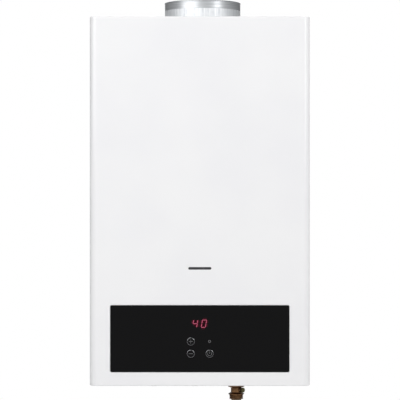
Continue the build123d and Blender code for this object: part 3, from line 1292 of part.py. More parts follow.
def build():
    """Every piece by its node name."""
    nodes = {
        "back_plate": back_plate(),
        "top_plate": top_plate(),
        "base_plate": base_plate(),
        "chassis_screws": chassis_screws(),
        "flue_collar": flue_collar(),
        "flue_ring": flue_ring(),
        "front_cover": front_cover(),
        "cover_screws": cover_screws(),
        "cover_nuts": cover_nuts(),
        "sight_window": sight_window(),
        "sight_frame": sight_frame(),
        "glass_panel": glass_panel(),
        "control_housing": control_housing(),
        "display_board": circuit_board(DISPLAY_BOARD_W, DISPLAY_BOARD_Y),
        "main_board": main_board(),
        "display_module": display_module(),
        "tact_switches": tact_switches(),
        "indicator_lens": indicator_lens(),
        "panel_brackets": panel_brackets(),
        "exchanger_shell": exchanger_shell(),
        "exchanger_fins": exchanger_fins(),
        "exchanger_tube": exchanger_tube(),
        "coil_pipe": coil_pipe(),
        "core_brackets": core_brackets(),
        "burner_box": burner_box(),
        "burner_strips": burner_strips(),
        "gas_manifold": gas_manifold(),
        "gas_nozzles": gas_nozzles(),
        "electrodes": electrodes(),
        "collector_hood": collector_hood(),
        "fan_scroll": fan_scroll(),
        "fan_impeller": fan_impeller(),
        "fan_shaft": fan_shaft(),
        "fan_motor": fan_motor(),
        "pressure_switch": pressure_switch(),
        "pressure_hose": pressure_hose(),
        "overheat_thermostat": overheat_thermostat(),
        "inlet_valve_body": inlet_valve_body(),
        "inlet_filter": inlet_filter(),
        "drain_plug": drain_plug(),
        "drain_seal": drain_seal(),
        "flow_sensor_body": flow_sensor_body(),
        "flow_rotor": flow_rotor(),
        "cold_pipe": cold_pipe(),
        "hot_pipe": hot_pipe(),
        "hot_outlet_nipple": hot_outlet_nipple(),
        "outlet_thermistor": outlet_thermistor(),
        "gas_inlet_nipple": gas_inlet_nipple(),
        "gas_valve_body": gas_valve_body(),
        "main_solenoid": main_solenoid(),
        "solenoid_plunger": solenoid_plunger(),
        "modulating_coil": modulating_coil(),
        "gas_feed_pipe": gas_feed_pipe(),
        "igniter_module": igniter_module(),
        "power_module": power_module(),
        "cable_grommet": cable_grommet(),
        "wiring_loom": wiring_loom(),
    }
    for name, (x, z) in BUTTONS.items():
        nodes[name] = push_button(x, z)
    return nodes


def main():
    """Write one STEP file for each node."""
    os.makedirs("parts", exist_ok=True)
    for name, shape in build().items():
        export_step(shape, f"parts/{name}.step")


if __name__ == "__main__":
    main()
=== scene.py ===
"""Studio picture of a wall-hung tankless gas water heater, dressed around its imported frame.

Lengths are metres in the part's own frame: X to the right, Y towards the wall, Z up.
"""
import logging
import math
from dataclasses import dataclass
from enum import Enum
from typing import Iterable, Sequence

import bmesh
import bpy
from mathutils import Matrix, Vector


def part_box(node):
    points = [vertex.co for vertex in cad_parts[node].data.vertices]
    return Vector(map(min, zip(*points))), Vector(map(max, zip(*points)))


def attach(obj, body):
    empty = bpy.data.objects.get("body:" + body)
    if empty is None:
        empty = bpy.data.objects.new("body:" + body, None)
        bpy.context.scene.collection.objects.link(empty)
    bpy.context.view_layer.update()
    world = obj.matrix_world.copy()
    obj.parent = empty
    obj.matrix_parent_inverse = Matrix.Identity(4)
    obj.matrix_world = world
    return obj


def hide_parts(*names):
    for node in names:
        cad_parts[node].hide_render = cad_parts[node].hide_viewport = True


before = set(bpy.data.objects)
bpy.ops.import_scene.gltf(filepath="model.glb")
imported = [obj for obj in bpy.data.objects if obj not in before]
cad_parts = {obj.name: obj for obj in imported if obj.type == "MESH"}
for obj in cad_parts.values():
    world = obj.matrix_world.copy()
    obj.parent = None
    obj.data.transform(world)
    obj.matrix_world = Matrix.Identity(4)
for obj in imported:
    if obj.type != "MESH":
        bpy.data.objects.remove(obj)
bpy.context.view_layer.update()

LOG = logging.getLogger("water_heater")
MM = 0.001
FRONT = Vector((0.0, -1.0, 0.0))
RIGHT = Vector((1.0, 0.0, 0.0))
UP = Vector((0.0, 0.0, 1.0))
WHITE = "#FFFFFF"
WELD = 1e-4 * MM  # corners nearer to each other than this become one
PIPE_Y = -74.0 * MM  # where the upright pipes stand
TURN = 360.0  # degrees
MIX_FROM, MIX_TO, MIX_OUT = 6, 7, 2  # colour sockets of a Mix node
Point = Vector
Path = tuple[Sequence[Point], bool]  # points in order, and whether they close to a loop
Piece = bpy.types.Object


def linear(colour: str) -> tuple[float, float, float, float]:
    """Turns an sRGB hex colour into Blender's linear colour.

    Args:
        colour: Hash sign and six hex digits.

    Returns:
        Linear red, green and blue, and an alpha of one.
    """
    shares = [int(colour[at:at + 2], 16) / 255.0 for at in (1, 3, 5)]
    # The sRGB curve: a straight foot, then a power.
    lit = [s / 12.92 if s <= 0.04045 else ((s + 0.055) / 1.055) ** 2.4 for s in shares]
    return (lit[0], lit[1], lit[2], 1.0)


def add_node(tree: bpy.types.NodeTree, kind: str, settings: dict | None = None,
             links: dict | None = None) -> bpy.types.Node:
    """Adds a node to a tree.

    Args:
        tree: Tree of a material, the world or a geometry group.
        kind: Blender's name of the node type.
        settings: Values by property name, or by input name or number.
        links: Output sockets by the name or number of the input that they feed.

    Returns:
        The new node.
    """
    node = tree.nodes.new(kind)
    for key, value in (settings or {}).items():
        if isinstance(key, str) and hasattr(node, key):
            setattr(node, key, value)
        else:
            node.inputs[key].default_value = value
    for key, socket in (links or {}).items():
        tree.links.new(socket, node.inputs[key])
    return node


class Texture(Enum):
    """Patterns that a finish can carry: the node and the output to read."""

    GRAIN = ("ShaderNodeTexNoise", "Fac")
    CELLS = ("ShaderNodeTexVoronoi", "Color")


@dataclass(frozen=True)
class Layer:
    """One pattern laid over a finish.

    size_mm is the width of a feature and drawn how much longer it is on each axis. Where the
    pattern rises through span, the colour goes to tint, the roughness rises by rough and the
    surface by bump_mm.
    """

    texture: Texture
    size_mm: float
    drawn: tuple[float, float, float] = (1.0, 1.0, 1.0)
    span: tuple[float, float] = (0.35, 0.65)
    tint: str = ""
    rough: float = 0.0
    bump_mm: float = 0.0

    def lay(self, tree: bpy.types.NodeTree, shader: bpy.types.Node, place: bpy.types.NodeSocket) -> None:
        """Adds the pattern over what already feeds the shader.

        Args:
            tree: The material's tree.
            shader: Its main shader.
            place: Object coordinates.
        """
        kind, output = self.texture.value
        sizes = tuple(1.0 / (self.size_mm * MM * length) for length in self.drawn)
        scaled = add_node(tree, "ShaderNodeMapping", {"Scale": sizes}, {"Vector": place})
        pattern = add_node(tree, kind, {"Scale": 1.0}, {"Vector": scaled.outputs[0]})
        edges = {"From Min": self.span[0], "From Max": self.span[1]}
        amount = add_node(tree, "ShaderNodeMapRange", edges, {"Value": pattern.outputs[output]}).outputs[0]
        if self.tint:
            base = shader.inputs["Base Color"]
            colours = {MIX_FROM: base.default_value, MIX_TO: linear(self.tint)}
            mixed = add_node(tree, "ShaderNodeMix", {"data_type": "RGBA", **colours}, {0: amount})
            self.chain(tree, base, mixed.inputs[MIX_FROM], mixed.outputs[MIX_OUT])
        if self.rough:
            base = shader.inputs["Roughness"]
            rise = {"operation": "MULTIPLY_ADD", 1: self.rough, 2: base.default_value}
            risen = add_node(tree, "ShaderNodeMath", rise, {0: amount})
            self.chain(tree, base, risen.inputs[2], risen.outputs[0])
        if self.bump_mm:
            bump = add_node(tree, "ShaderNodeBump", {"Distance": self.bump_mm * MM}, {"Height": amount})
            self.chain(tree, shader.inputs["Normal"], bump.inputs["Normal"], bump.outputs[0])

    @staticmethod
    def chain(tree: bpy.types.NodeTree, target: bpy.types.NodeSocket, before: bpy.types.NodeSocket,
              after: bpy.types.NodeSocket) -> None:
        """Puts a node between a shader input and what fed it until now.

        Args:
            tree: The material's tree.
            target: The shader's input.
            before: The new node's input that takes what fed the target.
            after: The new node's output.
        """
        if target.is_linked:
            tree.links.new(target.links[0].from_socket, before)
        tree.links.new(after, target)


@dataclass(frozen=True)
class Finish:
    """A surface finish: a base and the patterns over it."""

    name: str
    colour: str
    roughness: float
    metallic: float = 0.0
    specular: float = 0.5
    clear: float = 0.0
    glow: float = 0.0
    layers: tuple[Layer, ...] = ()

    @property
    def material(self) -> bpy.types.Material:
        """The finish's material, built at its first use."""
        return bpy.data.materials.get(self.name) or self.build()

    def build(self) -> bpy.types.Material:
        """Builds the finish's nodes.

        Returns:
            The new material.
        """
        made = bpy.data.materials.new(self.name)
        made.use_nodes = True
        tree = made.node_tree
        shader = tree.nodes["Principled BSDF"]
        values = {
            "Base Color": linear(self.colour), "Roughness": self.roughness, "Metallic": self.metallic,
            "Specular IOR Level": self.specular, "Transmission Weight": self.clear,
            "Emission Color": linear(self.colour), "Emission Strength": self.glow,
        }
        for socket, value in values.items():
            shader.inputs[socket].default_value = value
        place = add_node(tree, "ShaderNodeTexCoord").outputs["Object"]
        for layer in self.layers:
            layer.lay(tree, shader, place)
        return made


# White stove enamel sprayed on sheet steel: glossy, with a faint orange peel and a slow drift of tone.
ENAMEL = Finish("stove_enamel", "#EDEDEE", roughness=0.13, specular=0.62, layers=(
    Layer(Texture.GRAIN, size_mm=120.0, tint="#EAEAEC"),
    Layer(Texture.GRAIN, size_mm=2.4, rough=0.04, bump_mm=0.0006)))
# Hot-dip galvanised sheet: grey zinc crystals of about a centimetre, each with its own tone and gloss.
ZINC_SHEET = Finish("spangled_zinc_sheet", "#BFC3C6", roughness=0.36, metallic=1.0, layers=(
    Layer(Texture.CELLS, size_mm=9.0, span=(0.2, 0.8), tint="#A4AAAF", rough=0.14),
    Layer(Texture.GRAIN, size_mm=1.6, rough=0.08)))
# Rolled galvanised strip: pale, with upright streaks a few millimetres wide left by the rolling.
ZINC_BAND = Finish("rolled_zinc_strip", "#ECEDEE", roughness=0.52, metallic=1.0, layers=(
    Layer(Texture.GRAIN, size_mm=2.2, drawn=(1.0, 1.0, 40.0), tint="#C9CCD0", rough=0.1),
    Layer(Texture.GRAIN, size_mm=9.0, tint="#DFE1E3")))
# Polished stainless ring: bright, with hair lines that run round it, drawn coarse enough to show.
POLISHED = Finish("polished_stainless", "#C4C6C8", roughness=0.33, metallic=1.0, layers=(
    Layer(Texture.GRAIN, size_mm=1.2, drawn=(40.0, 40.0, 1.0), tint="#ABAEB1", rough=0.09),))
# Aluminised sheet of the flue gas path: satin silver with a cloudy bloom from the heat.
ALUMINISED = Finish("aluminised_sheet", "#C3C4C2", roughness=0.38, metallic=1.0, layers=(
    Layer(Texture.GRAIN, size_mm=34.0, tint="#A9A69F", rough=0.1),
    Layer(Texture.GRAIN, size_mm=1.8, drawn=(6.0, 6.0, 1.0), rough=0.08)))
# Zinc-plated screws: bright, with fine tumbling marks.
PLATED = Finish("zinc_plated_steel", "#C9CBC8", roughness=0.28, metallic=1.0, layers=(
    Layer(Texture.GRAIN, size_mm=0.7, tint="#ABAEAC", rough=0.14),))
# Float glass printed black from behind: deep black, nearly free of reflections, a trace of wiping marks.
PRINTED_GLASS = Finish("back_printed_glass", "#060607", roughness=0.05, specular=0.1, layers=(
    Layer(Texture.GRAIN, size_mm=40.0, rough=0.05),))
# Smoked heat-proof glass in front of the burner: dark grey and slightly uneven.
SMOKED_GLASS = Finish("smoked_glass", "#343438", roughness=0.12, clear=0.1, layers=(
    Layer(Texture.GRAIN, size_mm=6.0, tint="#2B2B2F"),))
# Hard-coated button caps: black and glossy like the glass, with a very fine moulded texture.
BUTTON_CAP = Finish("hard_coated_acrylic", "#060607", roughness=0.1, specular=0.12, layers=(
    Layer(Texture.GRAIN, size_mm=0.8, rough=0.05, bump_mm=0.001),))
# Grey screen-print ink: matt, a little uneven in its cover.
PRINT_INK = Finish("screen_print_ink", "#757577", roughness=0.55, layers=(
    Layer(Texture.GRAIN, size_mm=0.5, tint="#68686B", bump_mm=0.002),))
# Lit red display segments: even pinkish light with slightly warmer patches.
LIT_SEGMENT = Finish("lit_red_segment", "#A74B67", roughness=0.4, glow=0.5, layers=(
    Layer(Texture.GRAIN, size_mm=1.4, tint="#B04A5E"),))
# Painted glow round the segments: dark red bars that stand in for the light the lit segments spill on the
# glass.
PAINTED_RED_GLOW = Finish("painted_red_glow", "#4A0519", roughness=0.4, specular=0.1, layers=(
    Layer(Texture.GRAIN, size_mm=1.8, tint="#3C0414"),))
# Outer edge of the painted glow: the last of that spilt red light, painted nearly lost in the black of the
# glass.
PAINTED_FAINT_GLOW = Finish("painted_faint_red_glow", "#1F0A0F", roughness=0.4, specular=0.1, layers=(
    Layer(Texture.GRAIN, size_mm=1.8, tint="#190B0E"),))
# Dark chrome rims of the buttons: smoky mirror with a trace of fine polishing.
DARK_CHROME = Finish("dark_chrome", "#88888B", roughness=0.08, metallic=1.0, layers=(
    Layer(Texture.GRAIN, size_mm=0.8, tint="#78787B", rough=0.05),))
# Diffusing resin of the unlit indicator: nearly black and waxy.
LENS_RESIN = Finish("indicator_resin", "#131212", roughness=0.3, specular=0.1, layers=(
    Layer(Texture.GRAIN, size_mm=0.9, tint="#1C1A1A"),))
# Printed circuit board: green solder mask with paler tracks under it.
SOLDER_MASK = Finish("solder_mask", "#1C5B36", roughness=0.32, layers=(
    Layer(Texture.CELLS, size_mm=2.4, drawn=(2.0, 1.0, 1.0), span=(0.45, 0.5), tint="#2B7149",
          bump_mm=0.03),))
# Moulded glass-filled nylon: black, matt, with the fine spark-eroded grain of its tool.
MOULDED_BLACK = Finish("moulded_black_nylon", "#1D1E20", roughness=0.52, layers=(
    Layer(Texture.GRAIN, size_mm=1.1, tint="#26272A", rough=0.08, bump_mm=0.012),))
# Drawn copper tube: warm and bright, with brown bloom from handling and draw lines.
COPPER = Finish("drawn_copper", "#CF8259", roughness=0.27, metallic=1.0, layers=(
    Layer(Texture.GRAIN, size_mm=26.0, tint="#AD6843", rough=0.1),
    Layer(Texture.GRAIN, size_mm=2.0, tint="#C0774F", rough=0.08)))
# Tinned copper jacket of the exchanger: duller, with the brown and violet tints of heating.
HEATED_COPPER = Finish("heat_tinted_copper", "#BE7D5B", roughness=0.36, metallic=1.0, layers=(
    Layer(Texture.GRAIN, size_mm=70.0, drawn=(1.0, 1.0, 0.6), tint="#8C5745", rough=0.12),
    Layer(Texture.GRAIN, size_mm=14.0, span=(0.5, 0.75), tint="#7B5A56"),
    Layer(Texture.GRAIN, size_mm=1.8, rough=0.08, bump_mm=0.01)))
# Forged brass, browned and worn smooth: dark bronze-gold with darker clouds.
BRASS = Finish("browned_forged_brass", "#7F5F42", roughness=0.18, metallic=1.0, layers=(
    Layer(Texture.GRAIN, size_mm=5.0, tint="#5A412C", rough=0.06),
    Layer(Texture.GRAIN, size_mm=0.9, rough=0.05, bump_mm=0.006)))
# Nickelled plug, dulled by water: olive grey with a trace of the brass under it.
DULLED_NICKEL = Finish("dulled_nickel", "#6F6A4C", roughness=0.32, metallic=1.0, layers=(
    Layer(Texture.GRAIN, size_mm=2.5, tint="#565139", rough=0.12),))
# Die-cast aluminium: pale matt grey with a grainy skin and flow marks.
CAST_ALUMINIUM = Finish("die_cast_aluminium", "#B3B5B6", roughness=0.46, metallic=1.0, layers=(
    Layer(Texture.GRAIN, size_mm=18.0, tint="#999C9E"),
    Layer(Texture.GRAIN, size_mm=1.2, rough=0.12, bump_mm=0.03)))
# Enamelled motor can: dark grey paint with a fine hammered skin.
MOTOR_PAINT = Finish("motor_enamel", "#45494D", roughness=0.38, layers=(
    Layer(Texture.GRAIN, size_mm=2.0, tint="#3B3F43", rough=0.06, bump_mm=0.02),))
# Moulded grey nylon of the strainer: matt, a little stained by water.
STRAINER_NYLON = Finish("moulded_grey_nylon", "#8A887B", roughness=0.5, layers=(
    Layer(Texture.GRAIN, size_mm=3.0, tint="#757367", bump_mm=0.01),))
# Pressed EPDM rubber: near black and dull, with a fine bloom.
RUBBER = Finish("epdm_rubber", "#1B1B1C", roughness=0.72, layers=(
    Layer(Texture.GRAIN, size_mm=1.4, tint="#262627", bump_mm=0.01),))
# Glazed alumina insulators: off-white, glossy, with faint firing clouds.
CERAMIC = Finish("glazed_alumina", "#EDE9DF", roughness=0.22, layers=(
    Layer(Texture.GRAIN, size_mm=5.0, tint="#E2DCCE", bump_mm=0.004),))
# Nylon cable ties and plugs: milky white and satin.
MILKY_NYLON = Finish("milky_nylon", "#DAD8CF", roughness=0.42, layers=(
    Layer(Texture.GRAIN, size_mm=1.5, tint="#CDCABF", bump_mm=0.006),))
# Extruded PVC sheaths of the small leads: satin, with slight drifts of colour along the wire.
RED_PVC = Finish("red_pvc_sheath", "#9C2320", roughness=0.4, layers=(
    Layer(Texture.GRAIN, size_mm=12.0, tint="#861C1A", bump_mm=0.004),))
BLUE_PVC = Finish("blue_pvc_sheath", "#27508C", roughness=0.4, layers=(
    Layer(Texture.GRAIN, size_mm=12.0, tint="#204377", bump_mm=0.004),))


def dress(finish: Finish, *nodes: str) -> None:
    """Gives frame nodes a finish.

    Args:
        finish: The finish.
        nodes: Names of the nodes.
    """
    for name in nodes:
        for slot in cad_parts[name].material_slots:
            slot.material = finish.material


def settle(piece: Piece, body: str, slot: str, *stood_for: str) -> Piece:
    """Ties a finished piece to the frame.

    Args:
        piece: The piece, with its place in its mesh.
        body: Body that it moves with.
        slot: Not used.
        stood_for: Frame nodes that it replaces.

    Returns:
        The piece.
    """
    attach(piece, body)
    if stood_for:
        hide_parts(*stood_for)
    return piece


def middle(node: str) -> Point:
    """Middle of a frame node's box."""
    low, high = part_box(node)
    return (low + high) / 2


def face(node: str) -> Point:
    """Middle of a frame node's front."""
    centre = middle(node)
    return Vector((centre.x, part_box(node)[0].y, centre.z))


def half_width(node: str) -> float:
    """Half of a frame node's width."""
    low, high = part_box(node)
    return (high.x - low.x) / 2


def linked(name: str, data: bpy.types.ID) -> bpy.types.Object:
    """Puts data into the scene as an object.

    Args:
        name: Name of the object.
        data: Its mesh, lamp or camera.

    Returns:
        The object.
    """
    made = bpy.data.objects.new(name, data)
    bpy.context.scene.collection.objects.link(made)
    return made


def to_object(name: str, shape: bmesh.types.BMesh, sharp: float = 35.0) -> Piece:
    """Turns a bmesh into a linked object, smooth up to an angle.

    Args:
        name: Name of the object and its mesh.
        shape: The shape, which is freed.
        sharp: Edges that fold by more degrees than this stay sharp.

    Returns:
        The object.
    """
    bmesh.ops.remove_doubles(shape, verts=shape.verts, dist=WELD)
    bmesh.ops.recalc_face_normals(shape, faces=shape.faces)
    mesh = bpy.data.meshes.new(name)
    shape.to_mesh(mesh)
    shape.free()
    mesh.shade_smooth()
    mesh.set_sharp_from_angle(angle=math.radians(sharp))
    return linked(name, mesh)


def evaluated_mesh(holder: Piece) -> bpy.types.Mesh:
    """The plain mesh that an object's modifiers give."""
    bpy.context.view_layer.update()
    return bpy.data.meshes.new_from_object(holder.evaluated_get(bpy.context.evaluated_depsgraph_get()))


def lathed(profile: Sequence[tuple[float, float]], steps: int, hollow: bool = False) -> bmesh.types.BMesh:
    """Turns a profile round the Z axis.

    Args:
        profile: Radius and height of each corner, from axis to axis.
        steps: Faces round the axis.
        hollow: True if the profile is a loop clear of the axis.

    Returns:
        The closed shape.
    """
    shape = bmesh.new()
    corners = [shape.verts.new((radius, 0.0, height)) for radius, height in profile]
    edges = [shape.edges.new(pair) for pair in zip(corners, corners[1:])]
    edges += [shape.edges.new((corners[-1], corners[0]))] if hollow else []
    bmesh.ops.spin(shape, geom=corners + edges, axis=UP, cent=(0.0, 0.0, 0.0),
                   angle=math.tau, steps=steps, use_merge=True)
    bmesh.ops.remove_doubles(shape, verts=shape.verts, dist=WELD)
    return shape


def prism(outline: Sequence[tuple[float, float]], depth: float, bevel: float) -> bmesh.types.BMesh:
    """Raises a flat outline along Z and breaks its edges.

    Args:
        outline: Corners in the XY plane.
        depth: Height of the prism.
        bevel: Width of the broken edges.

    Returns:
        The closed shape, standing on Z = 0.
    """
    shape = bmesh.new()
    base = shape.faces.new([shape.verts.new((x, y, 0.0)) for x, y in outline])
    raised = bmesh.ops.extrude_face_region(shape, geom=[base])["geom"]
    tops = [item for item in raised if isinstance(item, bmesh.types.BMVert)]
    bmesh.ops.translate(shape, verts=tops, vec=(0.0, 0.0, depth))
    bmesh.ops.recalc_face_normals(shape, faces=shape.faces)
    bmesh.ops.bevel(shape, geom=list(shape.edges), offset=bevel, segments=2, profile=0.5, affect="EDGES")
    return shape


def circle(centre: Point, radius: float, axis: Vector, start: float = 0.0, sweep: float = TURN,
           steps: int = 48) -> list[Point]:
    """Points round an axis.

    Args:
        centre: Middle of the circle.
        radius: Its radius.
        axis: Direction that the circle faces.
        start: First angle in degrees, from straight up, or from the right for an upright axis.
        sweep: Angle covered; a full turn leaves out the last point.
        steps: Points on a full turn.

    Returns:
        The points in order.
    """
    upright = abs(axis.dot(UP)) > 0.9
    first = RIGHT if upright else UP
    second = axis.cross(first).normalized()
    count = max(2, round(steps * sweep / TURN))
    closed = sweep >= TURN
    angles = [math.radians(start + sweep * i / (count if closed else count - 1)) for i in range(count)]
    return [centre + radius * (math.cos(a) * first + math.sin(a) * second) for a in angles]


class MeshTree:
    """Geometry Nodes tree with named inputs, whose result becomes a plain mesh."""

    label = "mesh tree"
    inputs: dict[str, str] = {}

    def __init__(self) -> None:
        """Builds the tree, from its inputs to Realize Instances and Set Material."""
        self.tree = bpy.data.node_groups.new(self.label, "GeometryNodeTree")
        sockets = {"Geometry": "NodeSocketGeometry", **self.inputs, "Finish": "NodeSocketMaterial"}
        for name, kind in sockets.items():
            self.tree.interface.new_socket(name, in_out="INPUT", socket_type=kind)
        self.tree.interface.new_socket("Geometry", in_out="OUTPUT", socket_type="NodeSocketGeometry")
        self.source = add_node(self.tree, "NodeGroupInput")
        whole = add_node(self.tree, "GeometryNodeRealizeInstances", {}, {0: self.shape()})
        painted = add_node(self.tree, "GeometryNodeSetMaterial", {},
                           {0: whole.outputs[0], "Material": self.source.outputs["Finish"]})
        add_node(self.tree, "NodeGroupOutput", {}, {0: painted.outputs[0]})

    def shape(self) -> bpy.types.NodeSocket:
        """Adds the nodes of this tree's own shape and gives their last output."""
        raise NotImplementedError

    def grow(self, name: str, seed: bpy.types.Mesh, finish: Finish, values: dict) -> Piece:
        """Runs the tree on a seed.

        Args:
            name: Name of the piece.
            seed: Points or edges that the tree starts from.
            finish: Finish of the piece.
            values: The tree's inputs by name.

        Returns:
            The piece, a plain mesh without modifiers.
        """
        holder = linked(name, seed)
        modifier = holder.modifiers.new("grow", "NODES")
        modifier.node_group = self.tree
        given = {**values, "Finish": finish.material}
        for item in self.tree.interface.items_tree:
            if item.item_type == "SOCKET" and item.in_out == "INPUT" and item.name in given:
                modifier[item.identifier] = given[item.name]
        mesh = evaluated_mesh(holder)
        holder.modifiers.remove(modifier)
        holder.data = mesh
        mesh.name = name
        return holder


class WireTree(MeshTree):
    """Round wire along every edge path of the seed, smoothed between its points."""

    label = "wire along paths"
    inputs = {"Wire radius": "NodeSocketFloat", "Sides": "NodeSocketInt",
              "Steps between points": "NodeSocketInt"}

    def shape(self) -> bpy.types.NodeSocket:
        """Sweeps a circle along smooth curves through the seed's points.

        Returns:
            The tubes.
        """
        given = self.source.outputs
        edges = add_node(self.tree, "GeometryNodeMeshToCurve", {}, {"Mesh": given["Geometry"]})
        smoothed = add_node(self.tree, "GeometryNodeCurveSplineType", {"spline_type": "CATMULL_ROM"},
                            {"Curve": edges.outputs[0]})
        path = add_node(self.tree, "GeometryNodeSetSplineResolution", {}, {
            "Geometry": smoothed.outputs[0], "Resolution": given["Steps between points"]})
        rim = add_node(self.tree, "GeometryNodeCurvePrimitiveCircle", {}, {
            "Resolution": given["Sides"], "Radius": given["Wire radius"]})
        tube = add_node(self.tree, "GeometryNodeCurveToMesh", {"Fill Caps": True}, {
            "Curve": path.outputs[0], "Profile Curve": rim.outputs[0]})
        shaded = add_node(self.tree, "GeometryNodeSetShadeSmooth", {}, {"Geometry": tube.outputs[0]})
        return shaded.outputs[0]

    def along(self, name: str, paths: Iterable[Path], radius: float, finish: Finish, sides: int = 8,
              steps: int = 1) -> Piece:
        """Lays wire along paths.

        Args:
            name: Name of the piece.
            paths: Points of each path and whether it is closed.
            radius: Radius of the wire.
            finish: Finish of the wire.
            sides: Faces round the wire.
            steps: Steps of the curve between two points; one leaves straight runs.

        Returns:
            The piece.
        """
        points: list[Point] = []
        edges: list[tuple[int, int]] = []
        for path, closed in paths:
            first = len(points)
            points += path
            edges += [(i, i + 1) for i in range(first, len(points) - 1)]
            edges += [(len(points) - 1, first)] if closed else []
        seed = bpy.data.meshes.new(name + "_paths")
        seed.from_pydata(points, edges, [])
        values = {"Wire radius": radius, "Sides": sides, "Steps between points": steps}
        return self.grow(name, seed, finish, values)


@dataclass
class Spot:
    """Where one copy of a repeated piece sits: its foot, what its Z axis faces and its stretch."""

    place: Point
    facing: Vector
    stretch: tuple[float, float, float] = (1.0, 1.0, 1.0)


def corner_spots(node: str, inset: float, scale: float = 1.0) -> list[Spot]:
    """Spots near the four corners of a frame node's front.

    Args:
        node: Name of the node.
        inset: How far in from its sides they sit.
        scale: Size of the copies there.

    Returns:
        The spots, all facing forwards.
    """
    low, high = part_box(node)
    xs = (low.x + inset, high.x - inset)
    zs = (low.z + inset, high.z - inset)
    return [Spot(Vector((x, low.y, z)), FRONT, (scale, scale, scale)) for x in xs for z in zs]


class ScatterTree(MeshTree):
    """Copies of one piece on the seed's points."""

    label = "copies on points"
    inputs = {"Piece": "NodeSocketObject"}

    def shape(self) -> bpy.types.NodeSocket:
        """Turns and stretches a copy at each point.

        Returns:
            The instances.
        """
        given = self.source.outputs
        kind = {"data_type": "FLOAT_VECTOR"}
        facing, stretch = (
            add_node(self.tree, "GeometryNodeInputNamedAttribute", {**kind, "Name": name}).outputs[0]
            for name in ("facing", "stretch"))
        turned = add_node(self.tree, "FunctionNodeAlignRotationToVector", {"axis": "Z"}, {"Vector": facing})
        piece = add_node(self.tree, "GeometryNodeObjectInfo", {}, {"Object": given["Piece"]})
        placed = add_node(self.tree, "GeometryNodeInstanceOnPoints", {}, {
            "Points": given["Geometry"], "Instance": piece.outputs["Geometry"],
            "Rotation": turned.outputs["Rotation"], "Scale": stretch})
        return placed.outputs[0]

    def copies(self, name: str, piece: Piece, spots: Sequence[Spot], finish: Finish) -> Piece:
        """Sets copies of a piece on spots, and removes the original.

        Args:
            name: Name of the result.
            piece: The piece to copy, at the origin.
            spots: Where the copies sit.
            finish: Finish of the copies.

        Returns:
            The result as one piece.
        """
        seed = bpy.data.meshes.new(name + "_points")
        seed.from_pydata([spot.place for spot in spots], [], [])
        vectors = {"facing": [spot.facing for spot in spots], "stretch": [spot.stretch for spot in spots]}
        for label, rows in vectors.items():
            store = seed.attributes.new(label, "FLOAT_VECTOR", "POINT")
            store.data.foreach_set("vector", [part for row in rows for part in row])
        made = self.grow(name, seed, finish, {"Piece": piece})
        bpy.data.objects.remove(piece)
        return made


WIRES = WireTree()
COPIES = ScatterTree()


@dataclass
class CrossScrew:
    """Pan-head screw with a cross recess, its seat at Z = 0 and its head upwards."""

    head_radius: float = 3.6 * MM
    head_height: float = 2.2 * MM
    shank_radius: float = 1.9 * MM
    shank: float = 1.9 * MM
    arm: float = 4.4 * MM
    slot: float = 0.9 * MM
    sunk: float = 1.2 * MM
    brim: float = 0.45  # share of the head's height below its dome
    dome_angles: tuple[float, ...] = (0.0, 0.45, 0.85, 1.2)  # radians
    steps: int = 28

    def make(self) -> Piece:
        """Turns the screw and cuts its recess.

        Returns:
            The screw.
        """
        r, h = self.head_radius, self.head_height
        rise = 1.0 - self.brim
        dome = [(r * math.cos(a), h * (self.brim + rise * math.sin(a))) for a in self.dome_angles]
        profile = [(0.0, -self.shank), (self.shank_radius, -self.shank), (self.shank_radius, 0.0), (r, 0.0),
                   *dome, (0.0, h)]
        screw = to_object("screw", lathed(profile, self.steps))
        cross = bmesh.new()
        for width, length in ((self.slot, self.arm), (self.arm, self.slot)):
            box = Matrix.Translation((0.0, 0.0, h)) @ Matrix.Diagonal((width, length, 2.0 * self.sunk, 1.0))
            bmesh.ops.create_cube(cross, size=1.0, matrix=box)
        cutter = to_object("screw_cross", cross)
        cut = screw.modifiers.new("recess", "BOOLEAN")
        cut.object = cutter
        cut.use_self = True
        mesh = evaluated_mesh(screw)
        screw.modifiers.remove(cut)
        screw.data = mesh
        bpy.data.objects.remove(cutter)
        return screw


@dataclass
class Rivet:
    """Domed rivet head, its foot at Z = 0."""

    radius: float = 1.9 * MM
    height: float = 0.9 * MM
    sunk: float = 0.2  # share of its height below the foot
    dome_angles: tuple[float, ...] = (0.0, 0.4, 0.8, 1.2)  # radians
    steps: int = 16

    def make(self) -> Piece:
        """Turns the rivet head.

        Returns:
            The head.
        """
        r, h, base = self.radius, self.height, -self.sunk * self.height
        dome = [(r * math.cos(a), h * math.sin(a)) for a in self.dome_angles]
        return to_object("rivet", lathed([(0.0, base), (r, base), *dome, (0.0, h)], self.steps))


@dataclass
class HexNut:
    """Union nut round a pipe, its foot at Z = 0."""

    across: float = 19.0 * MM
    height: float = 8.0 * MM
    bevel: float = 0.7 * MM

    def make(self) -> Piece:
        """Raises the hexagon and breaks its edges.

        Returns:
            The nut.
        """
        corners = circle(Vector(), self.across / math.sqrt(3.0), UP, steps=6)
        outline = [(corner.x, corner.y) for corner in corners]
        return to_object("nut", prism(outline, self.height, self.bevel), sharp=25.0)


class SubAssembly:
    """Frame nodes that belong together, and the pieces added to them."""

    def dress(self) -> None:
        """Gives the sub-assembly's nodes their finishes."""
        raise NotImplementedError

    def pieces(self) -> list[Piece]:
        """Builds the added pieces and returns them."""
        raise NotImplementedError

    def build(self) -> None:
        """Dresses the nodes, builds the pieces and reports each of them."""
        self.dress()
        for piece in self.pieces():
            LOG.info("%s: %s, %d faces", type(self).__name__, piece.name, len(piece.data.polygons))


